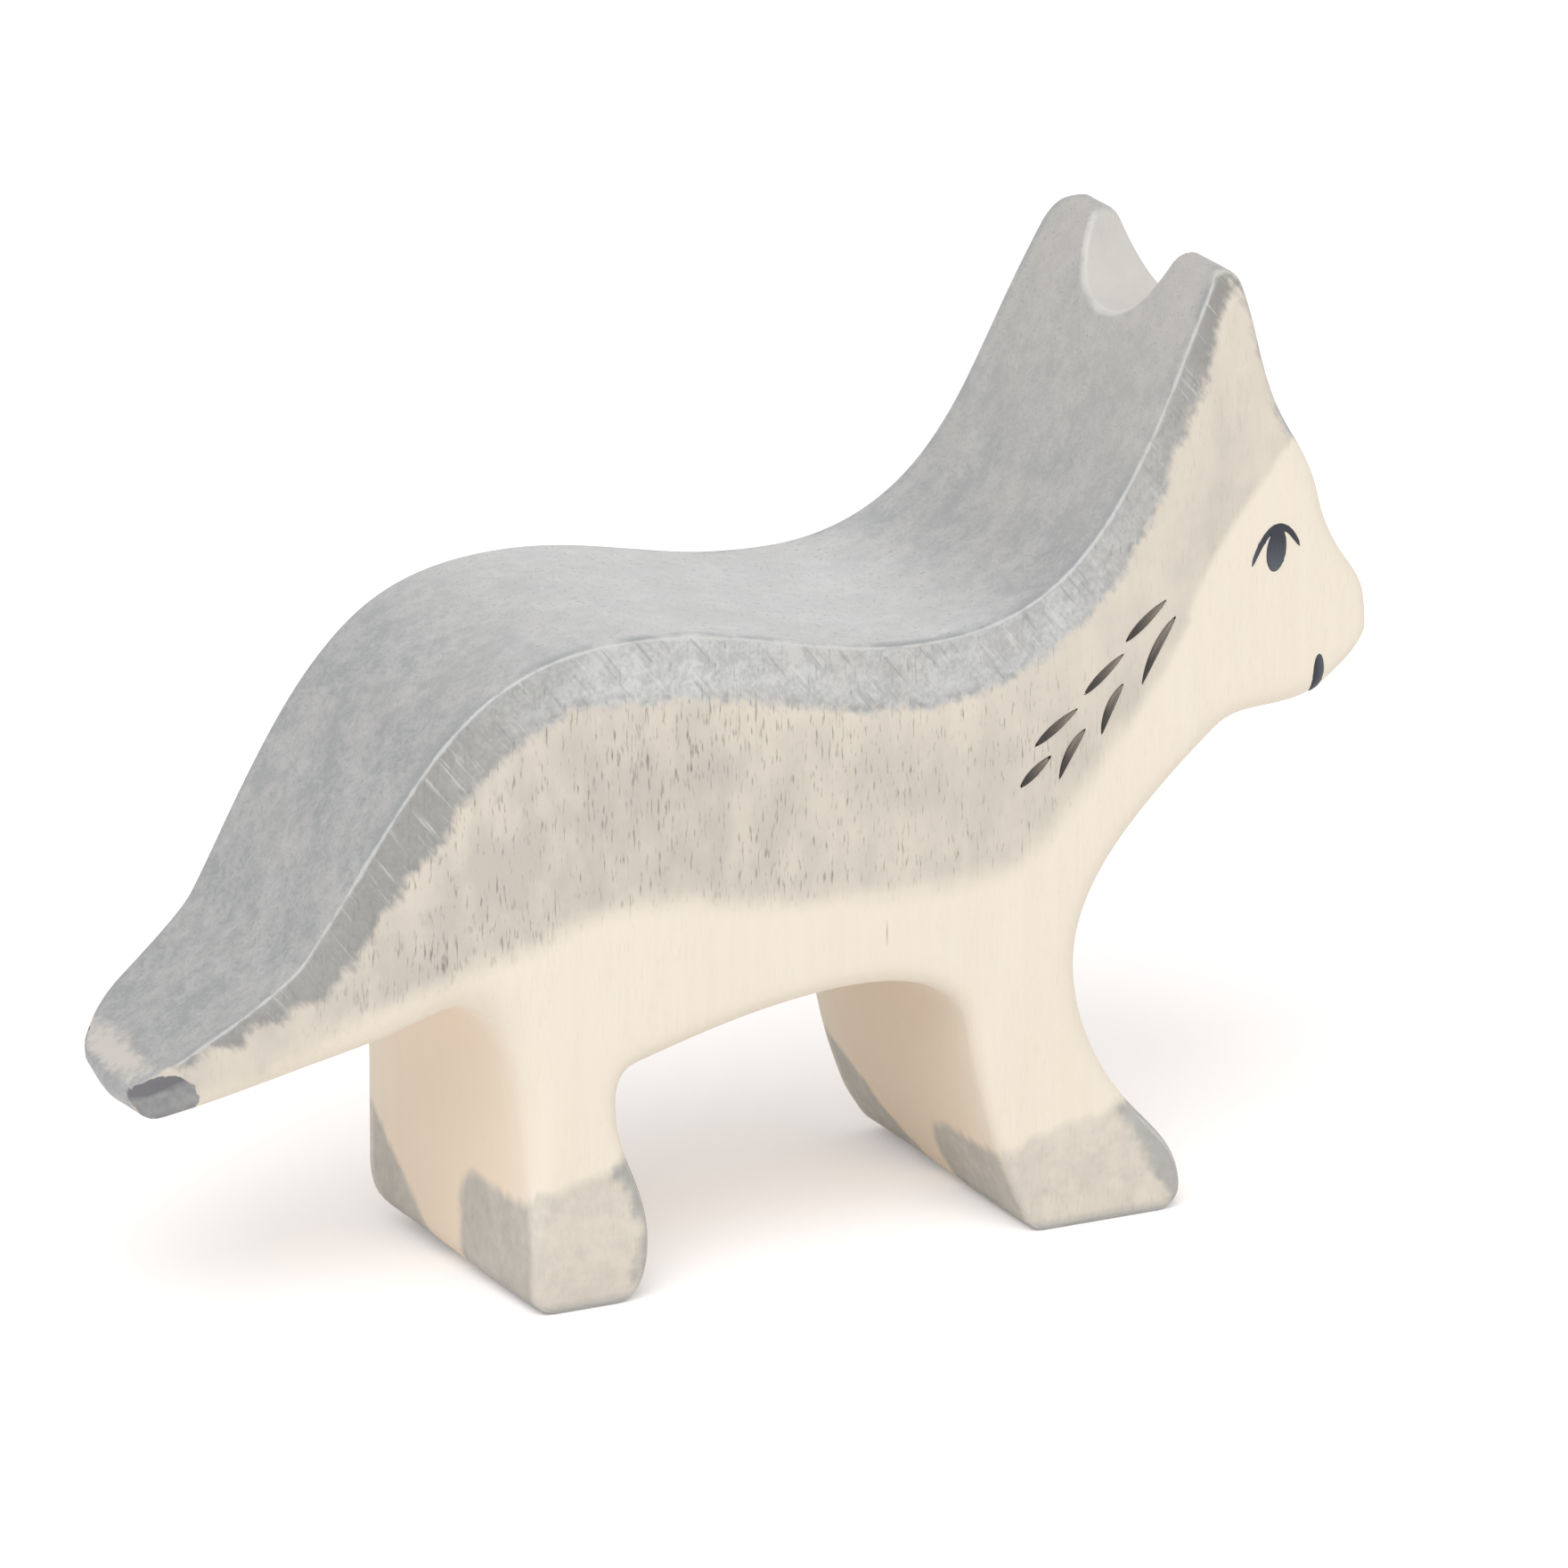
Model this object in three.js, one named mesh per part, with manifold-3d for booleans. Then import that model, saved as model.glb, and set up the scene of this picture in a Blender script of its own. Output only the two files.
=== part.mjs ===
// A toy wolf, band-sawn in one piece from a plank of pale wood and marked with paint.
// Millimetres, +Z up. The soles stand on Z = 0, the nose points along +X, and the plank's
// two faces are the flanks: the right one at -Y, the left one at +Y.
import * as THREE from 'three';
import { mergeVertices } from 'three/addons/utils/BufferGeometryUtils.js';
import { TessellateModifier } from 'three/addons/modifiers/TessellateModifier.js';
import Module from 'manifold-3d';

// The plank. Below, "setback" is a distance behind the nose, "ahead" a distance ahead of
// the tail tip, and "height" is measured up from the soles.
const bodyLength = 109.6;
const bodyHeight = 79.5;
const plankThickness = 30;
const edgeRound = 1;

// Head, from the ear tips down
const earSetback = 12.95;
const earTipSpareRound = 0.5;
const earTipDraw = 1.2;
const browSetback = 6.85;
const browBelowEar = 14.3;
const bridgeSetback = 4.2;
const bridgeBelowBrow = 5.8;
const stopSetback = 2.4;
const stopBelowBridge = 4.65;
const noseBelowBridge = 10.45;
const noseTall = 2.7;
const chinSetback = 4.5;
const chinBelowNose = 6.3;
const throatSetback = 12.8;
const throatBelowChin = 1.15;
const throatRound = 1.8;

// The groove that parts the ears: a round cut along the head
const earGrooveRadius = 7;
const earGrooveRise = 0.8;

// Back and tail
const saddleSetback = 40.8;
const saddleHeight = 52.4;
const rumpAhead = 42.1;
const rumpHeight = 56.2;
const tailKneeAhead = 13.9;
const tailKneeHeight = 32.2;
const tailTipHeight = 21.7;
const tailTipRound = 1.9;
const tailRootAhead = 25.5;
const tailRootHeight = 25.95;

// Seen from above, both flanks draw in towards a blunt tail end with round corners
const tailEndWidth = 15.5;
const tailEndRound = 6.5;
const tailTaperLength = 62;
const tailTaperPower = 1.9;

// Legs and belly
const footRound = 2;
const hindHeelAhead = 32.4;
const hindFootLength = 10.6;
const hindToeRound = 3;
const hindToeHeight = 5.2;
const hindCalfHeight = 13.4;
const hindAnkleInset = 2.6;
const hindAnkleHeight = 16.7;
const groinAhead = 42.1;
const groinHeight = 19.95;
const elbowSetback = 36.8;
const elbowHeight = 18;
const frontToeSetback = 17.4;
const frontFootLength = 14.7;
const instepInset = 5;
const instepHeight = 10.4;
const chestSetback = 26.85;
const chestHeight = 22.6;

// Paint films on the flanks: the eye below the brow, the mouth over the chin, and fur strokes that
// start at the ruff and are placed by how far they lie behind and below its first stroke
const paintThickness = 0.15;
const eyeInset = 1.95;
const eyeBelowBrow = 9.7;
const pupilWidth = 1.85;
const pupilTall = 3.8;
const pupilLean = 7;
const lashRear = 2.3;
const lashFront = 2.2;
const lashDrop = 1.2;
const lashFrontDrop = 0.05;
const lashRise = 2.2;
const lashThickness = 0.6;
const mouthBehindChin = 0.3;
const mouthRise = 3.35;
const mouthLength = 3.6;
const mouthWidth = 1;
const mouthLean = 88;
const ruffSetback = 20.9;
const ruffBelowEar = 28.3;
const furWidth = 0.8;
const furCurl = 0.25;
const furStrokes = [
  { behind: 0, below: 0, length: 4.9, lean: 39 },
  { behind: -1.2, below: 2.7, length: 6.3, lean: 60 },
  { behind: 3.9, below: 4, length: 4.8, lean: 39 },
  { behind: 3.1, below: 7.1, length: 4.6, lean: 64 },
  { behind: 8.3, below: 7.9, length: 4.8, lean: 34 },
  { behind: 6.8, below: 10.4, length: 4.7, lean: 59 },
  { behind: 10.2, below: 11.4, length: 3.7, lean: 39 },
];

// Fineness of the facets
const outlineStep = 3;
const fewestSteps = 4;
const brushSteps = 7;
const roundSteps = 3;
const grooveSides = 40;
const facetLength = 15;
const facetPasses = 24;
// A curve's handles as a share of its chord. The first turns square headings into a quarter circle.
const roundShare = 0.39;
const hipShare = 0.42;
const neckShare = 0.43;
const bellyShare = 0.31;
const chestShare = 0.33;
const tailShare = 0.2;
const jawShare = 0.2;
const noseShare = 0.3;

const noseX = bodyLength / 2;
const tailX = -bodyLength / 2;
const earX = noseX - earSetback;
const earTipRound = edgeRound + earTipSpareRound;
const browX = noseX - browSetback;
const browHeight = bodyHeight - browBelowEar;
const bridgeHeight = browHeight - bridgeBelowBrow;
const stopHeight = bridgeHeight - stopBelowBridge;
const noseHeight = bridgeHeight - noseBelowBridge;
const chinX = noseX - chinSetback;
const chinHeight = noseHeight - chinBelowNose;
const throatX = noseX - throatSetback;
const throatHeight = chinHeight - throatBelowChin;
const hindHeelX = tailX + hindHeelAhead;
const hindToeX = hindHeelX + hindFootLength;
const frontToeX = noseX - frontToeSetback;
const frontHeelX = frontToeX - frontFootLength;

const wasm = await Module();
wasm.setup();

const paleWood = new THREE.MeshStandardMaterial({ color: 0xe6dccd, roughness: 0.75, metalness: 0 });
const slatePaint = new THREE.MeshStandardMaterial({ color: 0x3c3e48, roughness: 0.6, metalness: 0 });
const umberPaint = new THREE.MeshStandardMaterial({ color: 0x4f4842, roughness: 0.65, metalness: 0 });

// A mark of the side outline: a place, the heading in degrees that the saw has there, and the
// share of the chord that the handles of the next curve take.
function mark(x, z, heading, share = roundShare) {
  const angle = THREE.MathUtils.degToRad(heading);
  const way = new THREE.Vector2(Math.cos(angle), Math.sin(angle));
  return { at: new THREE.Vector2(x, z), way, share };
}

// A mark on the round tip of the ear, where the outline has that heading.
function earTipMark(heading, share) {
  const angle = THREE.MathUtils.degToRad(heading);
  const centreZ = bodyHeight - earTipRound;
  const x = earX + earTipRound * Math.sin(angle);
  return mark(x, centreZ - earTipRound * Math.cos(angle), heading, share);
}

// A mark a little before or after the throat's corner, on the line with that heading.
function throatMark(heading, distance) {
  const angle = THREE.MathUtils.degToRad(heading);
  const x = throatX + distance * Math.cos(angle);
  return mark(x, throatHeight + distance * Math.sin(angle), heading);
}

// The side outline, counter-clockwise from the hind heel, in X and Z.
function outlineMarks() {
  return [
    mark(hindHeelX + footRound, 0, 0),
    mark(hindToeX - hindToeRound, 0, 0),
    mark(hindToeX, hindToeHeight, 90),
    mark(hindToeX - hindAnkleInset, hindAnkleHeight, 90),
    mark(tailX + groinAhead, groinHeight, 16, bellyShare),
    mark(noseX - elbowSetback, elbowHeight, -80),
    mark(frontHeelX, footRound, -66),
    mark(frontHeelX + footRound, 0, 0),
    mark(frontToeX - footRound, 0, 0),
    mark(frontToeX, footRound, 90),
    mark(frontToeX - instepInset, instepHeight, 127, chestShare),
    mark(noseX - chestSetback, chestHeight, 90, chestShare),
    throatMark(40, -throatRound),
    throatMark(6, throatRound),
    mark(chinX, chinHeight, 24, jawShare),
    mark(noseX, noseHeight - noseTall / 2, 90),
    mark(noseX, noseHeight + noseTall / 2, 90, noseShare),
    mark(noseX - stopSetback, stopHeight, 119),
    mark(noseX - bridgeSetback, bridgeHeight, 103),
    mark(browX, browHeight, 122),
    earTipMark(108),
    earTipMark(180),
    earTipMark(241, neckShare),
    mark(noseX - saddleSetback, saddleHeight, 180),
    mark(tailX + rumpAhead, rumpHeight, 180, hipShare),
    mark(tailX + tailKneeAhead, tailKneeHeight, 236, tailShare),
    mark(tailX + tailTipRound, tailTipHeight + tailTipRound, 213),
    mark(tailX, tailTipHeight, 270),
    mark(tailX + tailTipRound, tailTipHeight - tailTipRound, 14),
    mark(tailX + tailRootAhead, tailRootHeight, 20),
    mark(hindHeelX, hindCalfHeight, -90),
    mark(hindHeelX, footRound, -90),
  ];
}

// Joins the marks into one closed shape: straight where both headings follow the chord, else a curve.
function sideOutline() {
  const marks = outlineMarks();
  const points = [];
  marks.forEach((from, index) => {
    const to = marks[(index + 1) % marks.length];
    const chord = to.at.clone().sub(from.at);
    const reach = chord.length() * from.share;
    const leave = from.at.clone().addScaledVector(from.way, reach);
    const arrive = to.at.clone().addScaledVector(to.way, -reach);
    const straight = Math.abs(chord.cross(from.way)) + Math.abs(chord.cross(to.way)) < 1e-6;
    const steps = straight ? 1 : Math.max(fewestSteps, Math.ceil(chord.length() / outlineStep));
    const stretch = new THREE.CubicBezierCurve(from.at, leave, arrive, to.at);
    points.push(...stretch.getPoints(steps).slice(0, -1));
  });
  return new THREE.Shape(points);
}

// The width that is left at a place on the side outline. The flanks draw in towards the tail and
// round off at its end, while the hind leg under the rump keeps the plank's thickness. They draw in
// a little towards the ear tips too.
function widthAt(x, z) {
  const { smoothstep } = THREE.MathUtils;
  const ahead = x - tailX;
  const draw = Math.max(0, 1 - ahead / tailTaperLength) ** tailTaperPower;
  const besideLeg = smoothstep(ahead, tailKneeAhead, hindHeelAhead);
  const belowRump = 1 - smoothstep(z, hindCalfHeight, rumpHeight);
  const taper = (plankThickness - tailEndWidth) * draw * (1 - besideLeg * belowRump);
  const toEnd = Math.min(tailEndRound, Math.max(0, tailEndRound - ahead));
  const corner = tailEndRound - Math.sqrt(tailEndRound ** 2 - toEnd ** 2);
  const upEar = Math.max(0, z - browHeight) / browBelowEar;
  return plankThickness - taper - 2 * (corner + earTipDraw * upEar ** 2);
}

// The sawn and sanded body without its ear groove. Skin is a layer added all round.
function sawnBlank(skin) {
  const blank = new THREE.ExtrudeGeometry(sideOutline(), {
    depth: plankThickness - 2 * edgeRound,
    bevelThickness: edgeRound + skin,
    bevelSize: edgeRound + skin,
    bevelOffset: -edgeRound,
    bevelSegments: roundSteps,
  });
  blank.rotateX(Math.PI / 2);
  blank.translate(0, plankThickness / 2 - edgeRound, 0);
  const faceted = new TessellateModifier(facetLength, facetPasses).modify(blank);
  const places = faceted.getAttribute('position');
  for (let i = 0; i < places.count; i += 1) {
    const share = widthAt(places.getX(i), places.getZ(i)) / plankThickness;
    places.setY(i, places.getY(i) * share);
  }
  return faceted;
}

// The round cutter for the ear groove, lying along the head and running out past the nose.
function earGrooveCutter() {
  const length = 2 * earSetback;
  const cutter = new THREE.CylinderGeometry(earGrooveRadius, earGrooveRadius, length, grooveSides);
  cutter.rotateZ(-Math.PI / 2);
  cutter.translate(earX, 0, bodyHeight + earGrooveRise);
  return cutter;
}

// A closed three.js geometry as a solid that can be joined and cut.
function solid(geometry) {
  const bare = geometry.clone();
  bare.deleteAttribute('normal');
  bare.deleteAttribute('uv');
  const merged = mergeVertices(bare, 1e-4);
  return new wasm.Manifold(new wasm.Mesh({
    numProp: 3,
    vertProperties: merged.getAttribute('position').array,
    triVerts: Uint32Array.from(merged.getIndex().array),
  }));
}

// A solid as a named mesh.
function piece(name, body, material) {
  const mesh = body.getMesh();
  const geometry = new THREE.BufferGeometry();
  geometry.setAttribute('position', new THREE.BufferAttribute(mesh.vertProperties, 3));
  geometry.setIndex(new THREE.BufferAttribute(mesh.triVerts, 1));
  geometry.computeVertexNormals();
  const part = new THREE.Mesh(geometry, material);
  part.name = name;
  return part;
}

// A flat shape in X and Z as a prism through one flank's skin: side -1 is the right flank, 1 the left.
function flankPrism(shape, side) {
  const depth = edgeRound + 2 * paintThickness;
  const prism = new THREE.ExtrudeGeometry(shape, {
    depth,
    curveSegments: brushSteps,
    bevelEnabled: false,
  });
  prism.rotateX(Math.PI / 2);
  const outer = plankThickness / 2 + 2 * paintThickness;
  prism.translate(0, side > 0 ? outer : depth - outer, 0);
  return solid(prism);
}

// A brush stroke: pointed at both ends, widest at the middle and bowed by curl.
function strokeShape(x, z, length, width, lean, curl) {
  const angle = THREE.MathUtils.degToRad(lean);
  const along = new THREE.Vector2(Math.cos(angle), Math.sin(angle));
  const across = new THREE.Vector2(-along.y, along.x);
  const spot = (forward, sideways) => new THREE.Vector2(x, z)
    .addScaledVector(along, forward)
    .addScaledVector(across, sideways);
  const start = spot(-length / 2, 0);
  const end = spot(length / 2, 0);
  const upper = spot(0, 2 * curl + width);
  const lower = spot(0, 2 * curl - width);
  const shape = new THREE.Shape();
  shape.moveTo(start.x, start.y);
  shape.quadraticCurveTo(lower.x, lower.y, end.x, end.y);
  shape.quadraticCurveTo(upper.x, upper.y, start.x, start.y);
  return shape;
}

// The pupil: an upright oval that leans with the face.
function pupilShape(x, z) {
  const pupil = new THREE.Shape();
  const lean = THREE.MathUtils.degToRad(-pupilLean);
  pupil.absellipse(x, z, pupilWidth / 2, pupilTall / 2, 0, 2 * Math.PI, false, lean);
  return pupil;
}

// The lash: a thin arch over the pupil, pointed at both ends.
function lashShape(x, z) {
  const rear = new THREE.Vector2(x - lashRear, z - lashDrop);
  const front = new THREE.Vector2(x + lashFront, z - lashFrontDrop);
  const midway = rear.clone().add(front).multiplyScalar(0.5);
  const crown = (rise) => 2 * (z + rise) - midway.y;
  const lash = new THREE.Shape();
  lash.moveTo(rear.x, rear.y);
  lash.quadraticCurveTo(midway.x, crown(lashRise - lashThickness), front.x, front.y);
  lash.quadraticCurveTo(midway.x, crown(lashRise), rear.x, rear.y);
  return lash;
}

const blank = solid(sawnBlank(0));
const painted = solid(sawnBlank(paintThickness));

// The paint film that a brush leaves inside a prism's outline, lying on the wood.
function film(name, prism, material) {
  return piece(name, prism.intersect(painted).subtract(blank), material);
}

// One flank's paint: eye, mouth and fur strokes.
function flankMarks(sideName, side) {
  const marks = new THREE.Group();
  const eyeX = browX - eyeInset;
  const eyeHeight = browHeight - eyeBelowBrow;
  const pupil = flankPrism(pupilShape(eyeX, eyeHeight), side);
  const eye = pupil.add(flankPrism(lashShape(eyeX, eyeHeight), side));
  marks.add(film(`${sideName}_eye_mark`, eye, slatePaint));
  const mouthMiddle = chinHeight + mouthRise - mouthLength / 2;
  const mouthX = chinX - mouthBehindChin;
  const mouth = strokeShape(mouthX, mouthMiddle, mouthLength, mouthWidth, mouthLean, 0);
  marks.add(film(`${sideName}_mouth_mark`, flankPrism(mouth, side), slatePaint));
  furStrokes.forEach(({ behind, below, length, lean }, index) => {
    const x = noseX - ruffSetback - behind;
    const z = bodyHeight - ruffBelowEar - below;
    const stroke = strokeShape(x, z, length, furWidth, lean, furCurl);
    marks.add(film(`${sideName}_fur_stroke_${index + 1}`, flankPrism(stroke, side), umberPaint));
  });
  return marks;
}

const wolf = new THREE.Group();
wolf.add(piece('carved_body', blank.subtract(solid(earGrooveCutter())), paleWood));
wolf.add(flankMarks('right', -1));
wolf.add(flankMarks('left', 1));

export default wolf;
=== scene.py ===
"""A toy wolf, band-sawn in one piece from a beech plank, washed in grey and beige and marked with paint.

The frame is in metres: +X towards the nose, +Y to the wolf's left, +Z up, the soles on Z = 0. Sizes and
places in this script are millimetres of that frame until a mesh is made from them.
"""

import math
from functools import partial

import bpy
import numpy as np
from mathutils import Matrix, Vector, noise
from mathutils.geometry import delaunay_2d_cdt


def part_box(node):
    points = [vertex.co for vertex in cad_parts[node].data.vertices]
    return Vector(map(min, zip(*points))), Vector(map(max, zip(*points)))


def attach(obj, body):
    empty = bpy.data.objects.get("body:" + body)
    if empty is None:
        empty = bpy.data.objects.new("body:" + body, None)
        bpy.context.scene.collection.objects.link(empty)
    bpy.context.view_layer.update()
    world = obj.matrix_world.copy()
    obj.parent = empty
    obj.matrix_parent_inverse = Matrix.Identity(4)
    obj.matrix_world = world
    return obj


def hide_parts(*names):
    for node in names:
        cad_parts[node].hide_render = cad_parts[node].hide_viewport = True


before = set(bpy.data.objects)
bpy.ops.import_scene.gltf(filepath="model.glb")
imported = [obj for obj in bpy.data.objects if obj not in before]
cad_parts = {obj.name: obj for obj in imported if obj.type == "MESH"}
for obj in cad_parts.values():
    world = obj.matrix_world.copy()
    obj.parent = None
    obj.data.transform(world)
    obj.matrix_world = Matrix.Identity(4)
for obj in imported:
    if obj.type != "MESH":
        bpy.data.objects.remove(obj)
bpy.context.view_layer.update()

MM = 0.001

# The plank, read off the frame: its ends, its height and half its thickness
body_low, body_high = (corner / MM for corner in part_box("carved_body"))
tail_x = body_low.x
nose_x = body_high.x
body_height = body_high.z
half_plank = body_high.y

# Head. "Setback" is a distance behind the nose, "ahead" one ahead of the tail tip.
EAR_SETBACK = 12.95
EAR_TIP_ROUND = 1.5
EAR_TIP_DRAW = 1.2
EAR_RIGHT_ROUND = 1.4
EAR_LEFT_ROUND = 2.8
BROW_SETBACK = 6.85
BROW_BELOW_EAR = 14.3
BRIDGE_SETBACK = 4.2
BRIDGE_BELOW_BROW = 5.8
STOP_SETBACK = 2.4
STOP_BELOW_BRIDGE = 4.65
NOSE_BELOW_BRIDGE = 10.45
NOSE_TALL = 2.7
CHIN_SETBACK = 4.5
CHIN_BELOW_NOSE = 6.3
THROAT_SETBACK = 12.8
THROAT_BELOW_CHIN = 1.15
THROAT_ROUND = 1.8
EAR_GROOVE_RADIUS = 7
EAR_GROOVE_RISE = 0.8
LIP_ROUND = 0.7

# Back and tail
SADDLE_SETBACK = 40.8
SADDLE_HEIGHT = 52.4
RUMP_AHEAD = 42.1
RUMP_HEIGHT = 56.2
TAIL_KNEE_AHEAD = 13.9
TAIL_KNEE_HEIGHT = 32.2
TAIL_TIP_HEIGHT = 21.7
TAIL_TIP_ROUND = 1.9
TAIL_ROOT_AHEAD = 25.5
TAIL_ROOT_HEIGHT = 25.95
TAIL_END_WIDTH = 15.5
TAIL_RIGHT_ROUND = 2.6
TAIL_LEFT_ROUND = 6.5
TAIL_TAPER_LENGTH = 62
TAIL_TAPER_POWER = 1.9
# The tail end is sanded a little askew: over this length its left side draws forward and lifts below.
TAIL_SKEW_LENGTH = 16
TAIL_SKEW = 0.8
TAIL_LIFT = 2.4

# Legs and belly
FOOT_ROUND = 2
HIND_HEEL_AHEAD = 32.4
HIND_FOOT_LENGTH = 10.6
HIND_TOE_ROUND = 3
HIND_TOE_HEIGHT = 5.2
HIND_CALF_HEIGHT = 13.4
HIND_ANKLE_INSET = 2.6
HIND_ANKLE_HEIGHT = 16.7
GROIN_AHEAD = 42.1
GROIN_HEIGHT = 19.95
ELBOW_SETBACK = 36.8
ELBOW_HEIGHT = 18
FRONT_TOE_SETBACK = 17.4
FRONT_FOOT_LENGTH = 14.7
INSTEP_INSET = 5
INSTEP_HEIGHT = 10.4
CHEST_SETBACK = 26.85
CHEST_HEIGHT = 22.6
# Each sole's rear edge is sanded up towards the left, by this much within this reach of the heel, and the
# hind foot's left side is round below.
HEEL_LIFT = 1.1
HEEL_REACH = 5
HIND_SOLE_ROUND = 5

# A curve's handles as a share of its chord. The first turns square headings into a quarter circle.
ROUND_SHARE = 0.39
HIP_SHARE = 0.42
NECK_SHARE = 0.43
BELLY_SHARE = 0.31
JAW_SHARE = 0.2
NOSE_SHARE = 0.3
CHEST_SHARE = 0.33
TAIL_SHARE = 0.2

# How far sanding has rounded the edges between the outline and the flanks
CRISP = 0.55
WORN = 1.0
SOFT = 1.9
VERY_SOFT = 3.2
HAUNCH = 4.8
FAR_SOLE = 2.4
# An edge's rounding is at most this share of the outline's own radius.
ROUND_LIMIT = 0.7

# How deep the grey coat of the back reaches down the flanks. Bare edges have a depth below zero.
BARE = -4.0
# On top it is deeper by this much, within the same distance of the edge.
TOP_COAT = 2

# Mesh fineness
OUTLINE_STEP = 0.55
EAR_STEP = 0.25
FLANK_STEP = 1.1
FINE_FLANK_STEP = 0.5
EDGE_STEPS = 6
FEWEST_STEPS = 6
SMOOTHING_PASSES = 6
GROOVE_STEPS = 34
GROOVE_HALVINGS = 34
GROOVE_SIDES = (0.02, 0.06, 0.11, 0.17, 0.24, 0.33, 0.48, 0.7)
# A net's points stay this share of its spacing away from its loop.
NET_MARGIN = 0.6
# How loops are filled: with only the triangles inside them, and with points this close joined
INSIDE_ONLY = 1
JOIN_WITHIN = 1e-7
# Points from one knot of a smooth path to the next
PATH_STEPS = 12

brow_x = nose_x - BROW_SETBACK
brow_height = body_height - BROW_BELOW_EAR
bridge_height = brow_height - BRIDGE_BELOW_BROW
stop_height = bridge_height - STOP_BELOW_BRIDGE
nose_height = bridge_height - NOSE_BELOW_BRIDGE
chin_x = nose_x - CHIN_SETBACK
chin_height = nose_height - CHIN_BELOW_NOSE
ear_x = nose_x - EAR_SETBACK
throat_x = nose_x - THROAT_SETBACK
throat_height = chin_height - THROAT_BELOW_CHIN
hind_heel_x = tail_x + HIND_HEEL_AHEAD
hind_toe_x = hind_heel_x + HIND_FOOT_LENGTH
front_toe_x = nose_x - FRONT_TOE_SETBACK
front_heel_x = front_toe_x - FRONT_FOOT_LENGTH
groove_height = body_height + EAR_GROOVE_RISE


def smoothstep(value, start, end):
    """0 before start, 1 after end, and a smooth rise between them."""
    share = np.clip((value - start) / (end - start), 0, 1)
    return share * share * (3 - 2 * share)


def mark(x, z, heading, share=ROUND_SHARE, right=SOFT, left=SOFT, coat=BARE, step=OUTLINE_STEP):
    """A mark of the side outline: its place, the saw's heading there in degrees, the share of the next
    chord that its handles take, the rounding of the right and left edges, the depth of the grey coat
    below it, and the spacing of the mesh up to the next mark."""
    angle = math.radians(heading)
    way = np.array((math.cos(angle), math.sin(angle)))
    return {"at": np.array((x, z)), "way": way, "share": share, "step": step, "blend": (right, left, coat)}


def ear_tip_mark(heading, **more):
    """A mark on the round tip of the ear, where the outline has that heading."""
    angle = math.radians(heading)
    x = ear_x + EAR_TIP_ROUND * math.sin(angle)
    z = body_height - EAR_TIP_ROUND - EAR_TIP_ROUND * math.cos(angle)
    return mark(x, z, heading, step=EAR_STEP, **more)


def throat_mark(heading, distance):
    """A mark a little before or after the throat's corner, on the line with that heading."""
    angle = math.radians(heading)
    return mark(throat_x + distance * math.cos(angle), throat_height + distance * math.sin(angle), heading)


def outline_marks():
    """The side outline, counter-clockwise from the hind heel, in X and Z."""
    return [
        mark(hind_heel_x + FOOT_ROUND, 0, 0, right=CRISP, left=FAR_SOLE),
        mark(hind_toe_x - HIND_TOE_ROUND, 0, 0, right=CRISP, left=FAR_SOLE),
        mark(hind_toe_x, HIND_TOE_HEIGHT, 90, right=WORN),
        mark(hind_toe_x - HIND_ANKLE_INSET, HIND_ANKLE_HEIGHT, 90),
        mark(tail_x + GROIN_AHEAD, GROIN_HEIGHT, 16, BELLY_SHARE),
        mark(nose_x - ELBOW_SETBACK, ELBOW_HEIGHT, -80, left=CRISP),
        mark(front_heel_x, FOOT_ROUND, -66, right=WORN, left=CRISP),
        mark(front_heel_x + FOOT_ROUND, 0, 0, right=CRISP, left=FAR_SOLE),
        mark(front_toe_x - FOOT_ROUND, 0, 0, right=CRISP, left=FAR_SOLE),
        mark(front_toe_x, FOOT_ROUND, 90, right=WORN),
        mark(front_toe_x - INSTEP_INSET, INSTEP_HEIGHT, 127, CHEST_SHARE),
        mark(nose_x - CHEST_SETBACK, CHEST_HEIGHT, 90, CHEST_SHARE),
        throat_mark(40, -THROAT_ROUND),
        throat_mark(6, THROAT_ROUND),
        mark(chin_x, chin_height, 24, JAW_SHARE),
        mark(nose_x, nose_height - NOSE_TALL / 2, 90),
        mark(nose_x, nose_height + NOSE_TALL / 2, 90, NOSE_SHARE),
        mark(nose_x - STOP_SETBACK, stop_height, 119),
        mark(nose_x - BRIDGE_SETBACK, bridge_height, 103),
        mark(brow_x, brow_height, 122, coat=0.2, step=EAR_STEP),
        ear_tip_mark(108, right=CRISP, coat=0.5),
        ear_tip_mark(180, right=CRISP, coat=1.0),
        ear_tip_mark(241, share=NECK_SHARE, right=CRISP, left=WORN, coat=1.9),
        mark(nose_x - SADDLE_SETBACK, SADDLE_HEIGHT, 180, right=CRISP, left=WORN, coat=5.6),
        mark(tail_x + RUMP_AHEAD, RUMP_HEIGHT, 180, HIP_SHARE, right=CRISP, coat=5.2),
        mark(tail_x + TAIL_KNEE_AHEAD, TAIL_KNEE_HEIGHT, 236, TAIL_SHARE, right=CRISP, left=WORN, coat=3.7),
        mark(tail_x + TAIL_TIP_ROUND, TAIL_TIP_HEIGHT + TAIL_TIP_ROUND, 213,
             right=CRISP, left=CRISP, coat=-0.5),
        mark(tail_x, TAIL_TIP_HEIGHT, 270, right=WORN, coat=1.2),
        mark(tail_x + TAIL_TIP_ROUND, TAIL_TIP_HEIGHT - TAIL_TIP_ROUND, 14, right=WORN, coat=-0.4),
        mark(tail_x + TAIL_ROOT_AHEAD, TAIL_ROOT_HEIGHT, 20, right=HAUNCH),
        mark(hind_heel_x, HIND_CALF_HEIGHT, -90, right=VERY_SOFT, left=CRISP),
        mark(hind_heel_x, FOOT_ROUND, -90, right=CRISP, left=CRISP),
    ]


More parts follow.
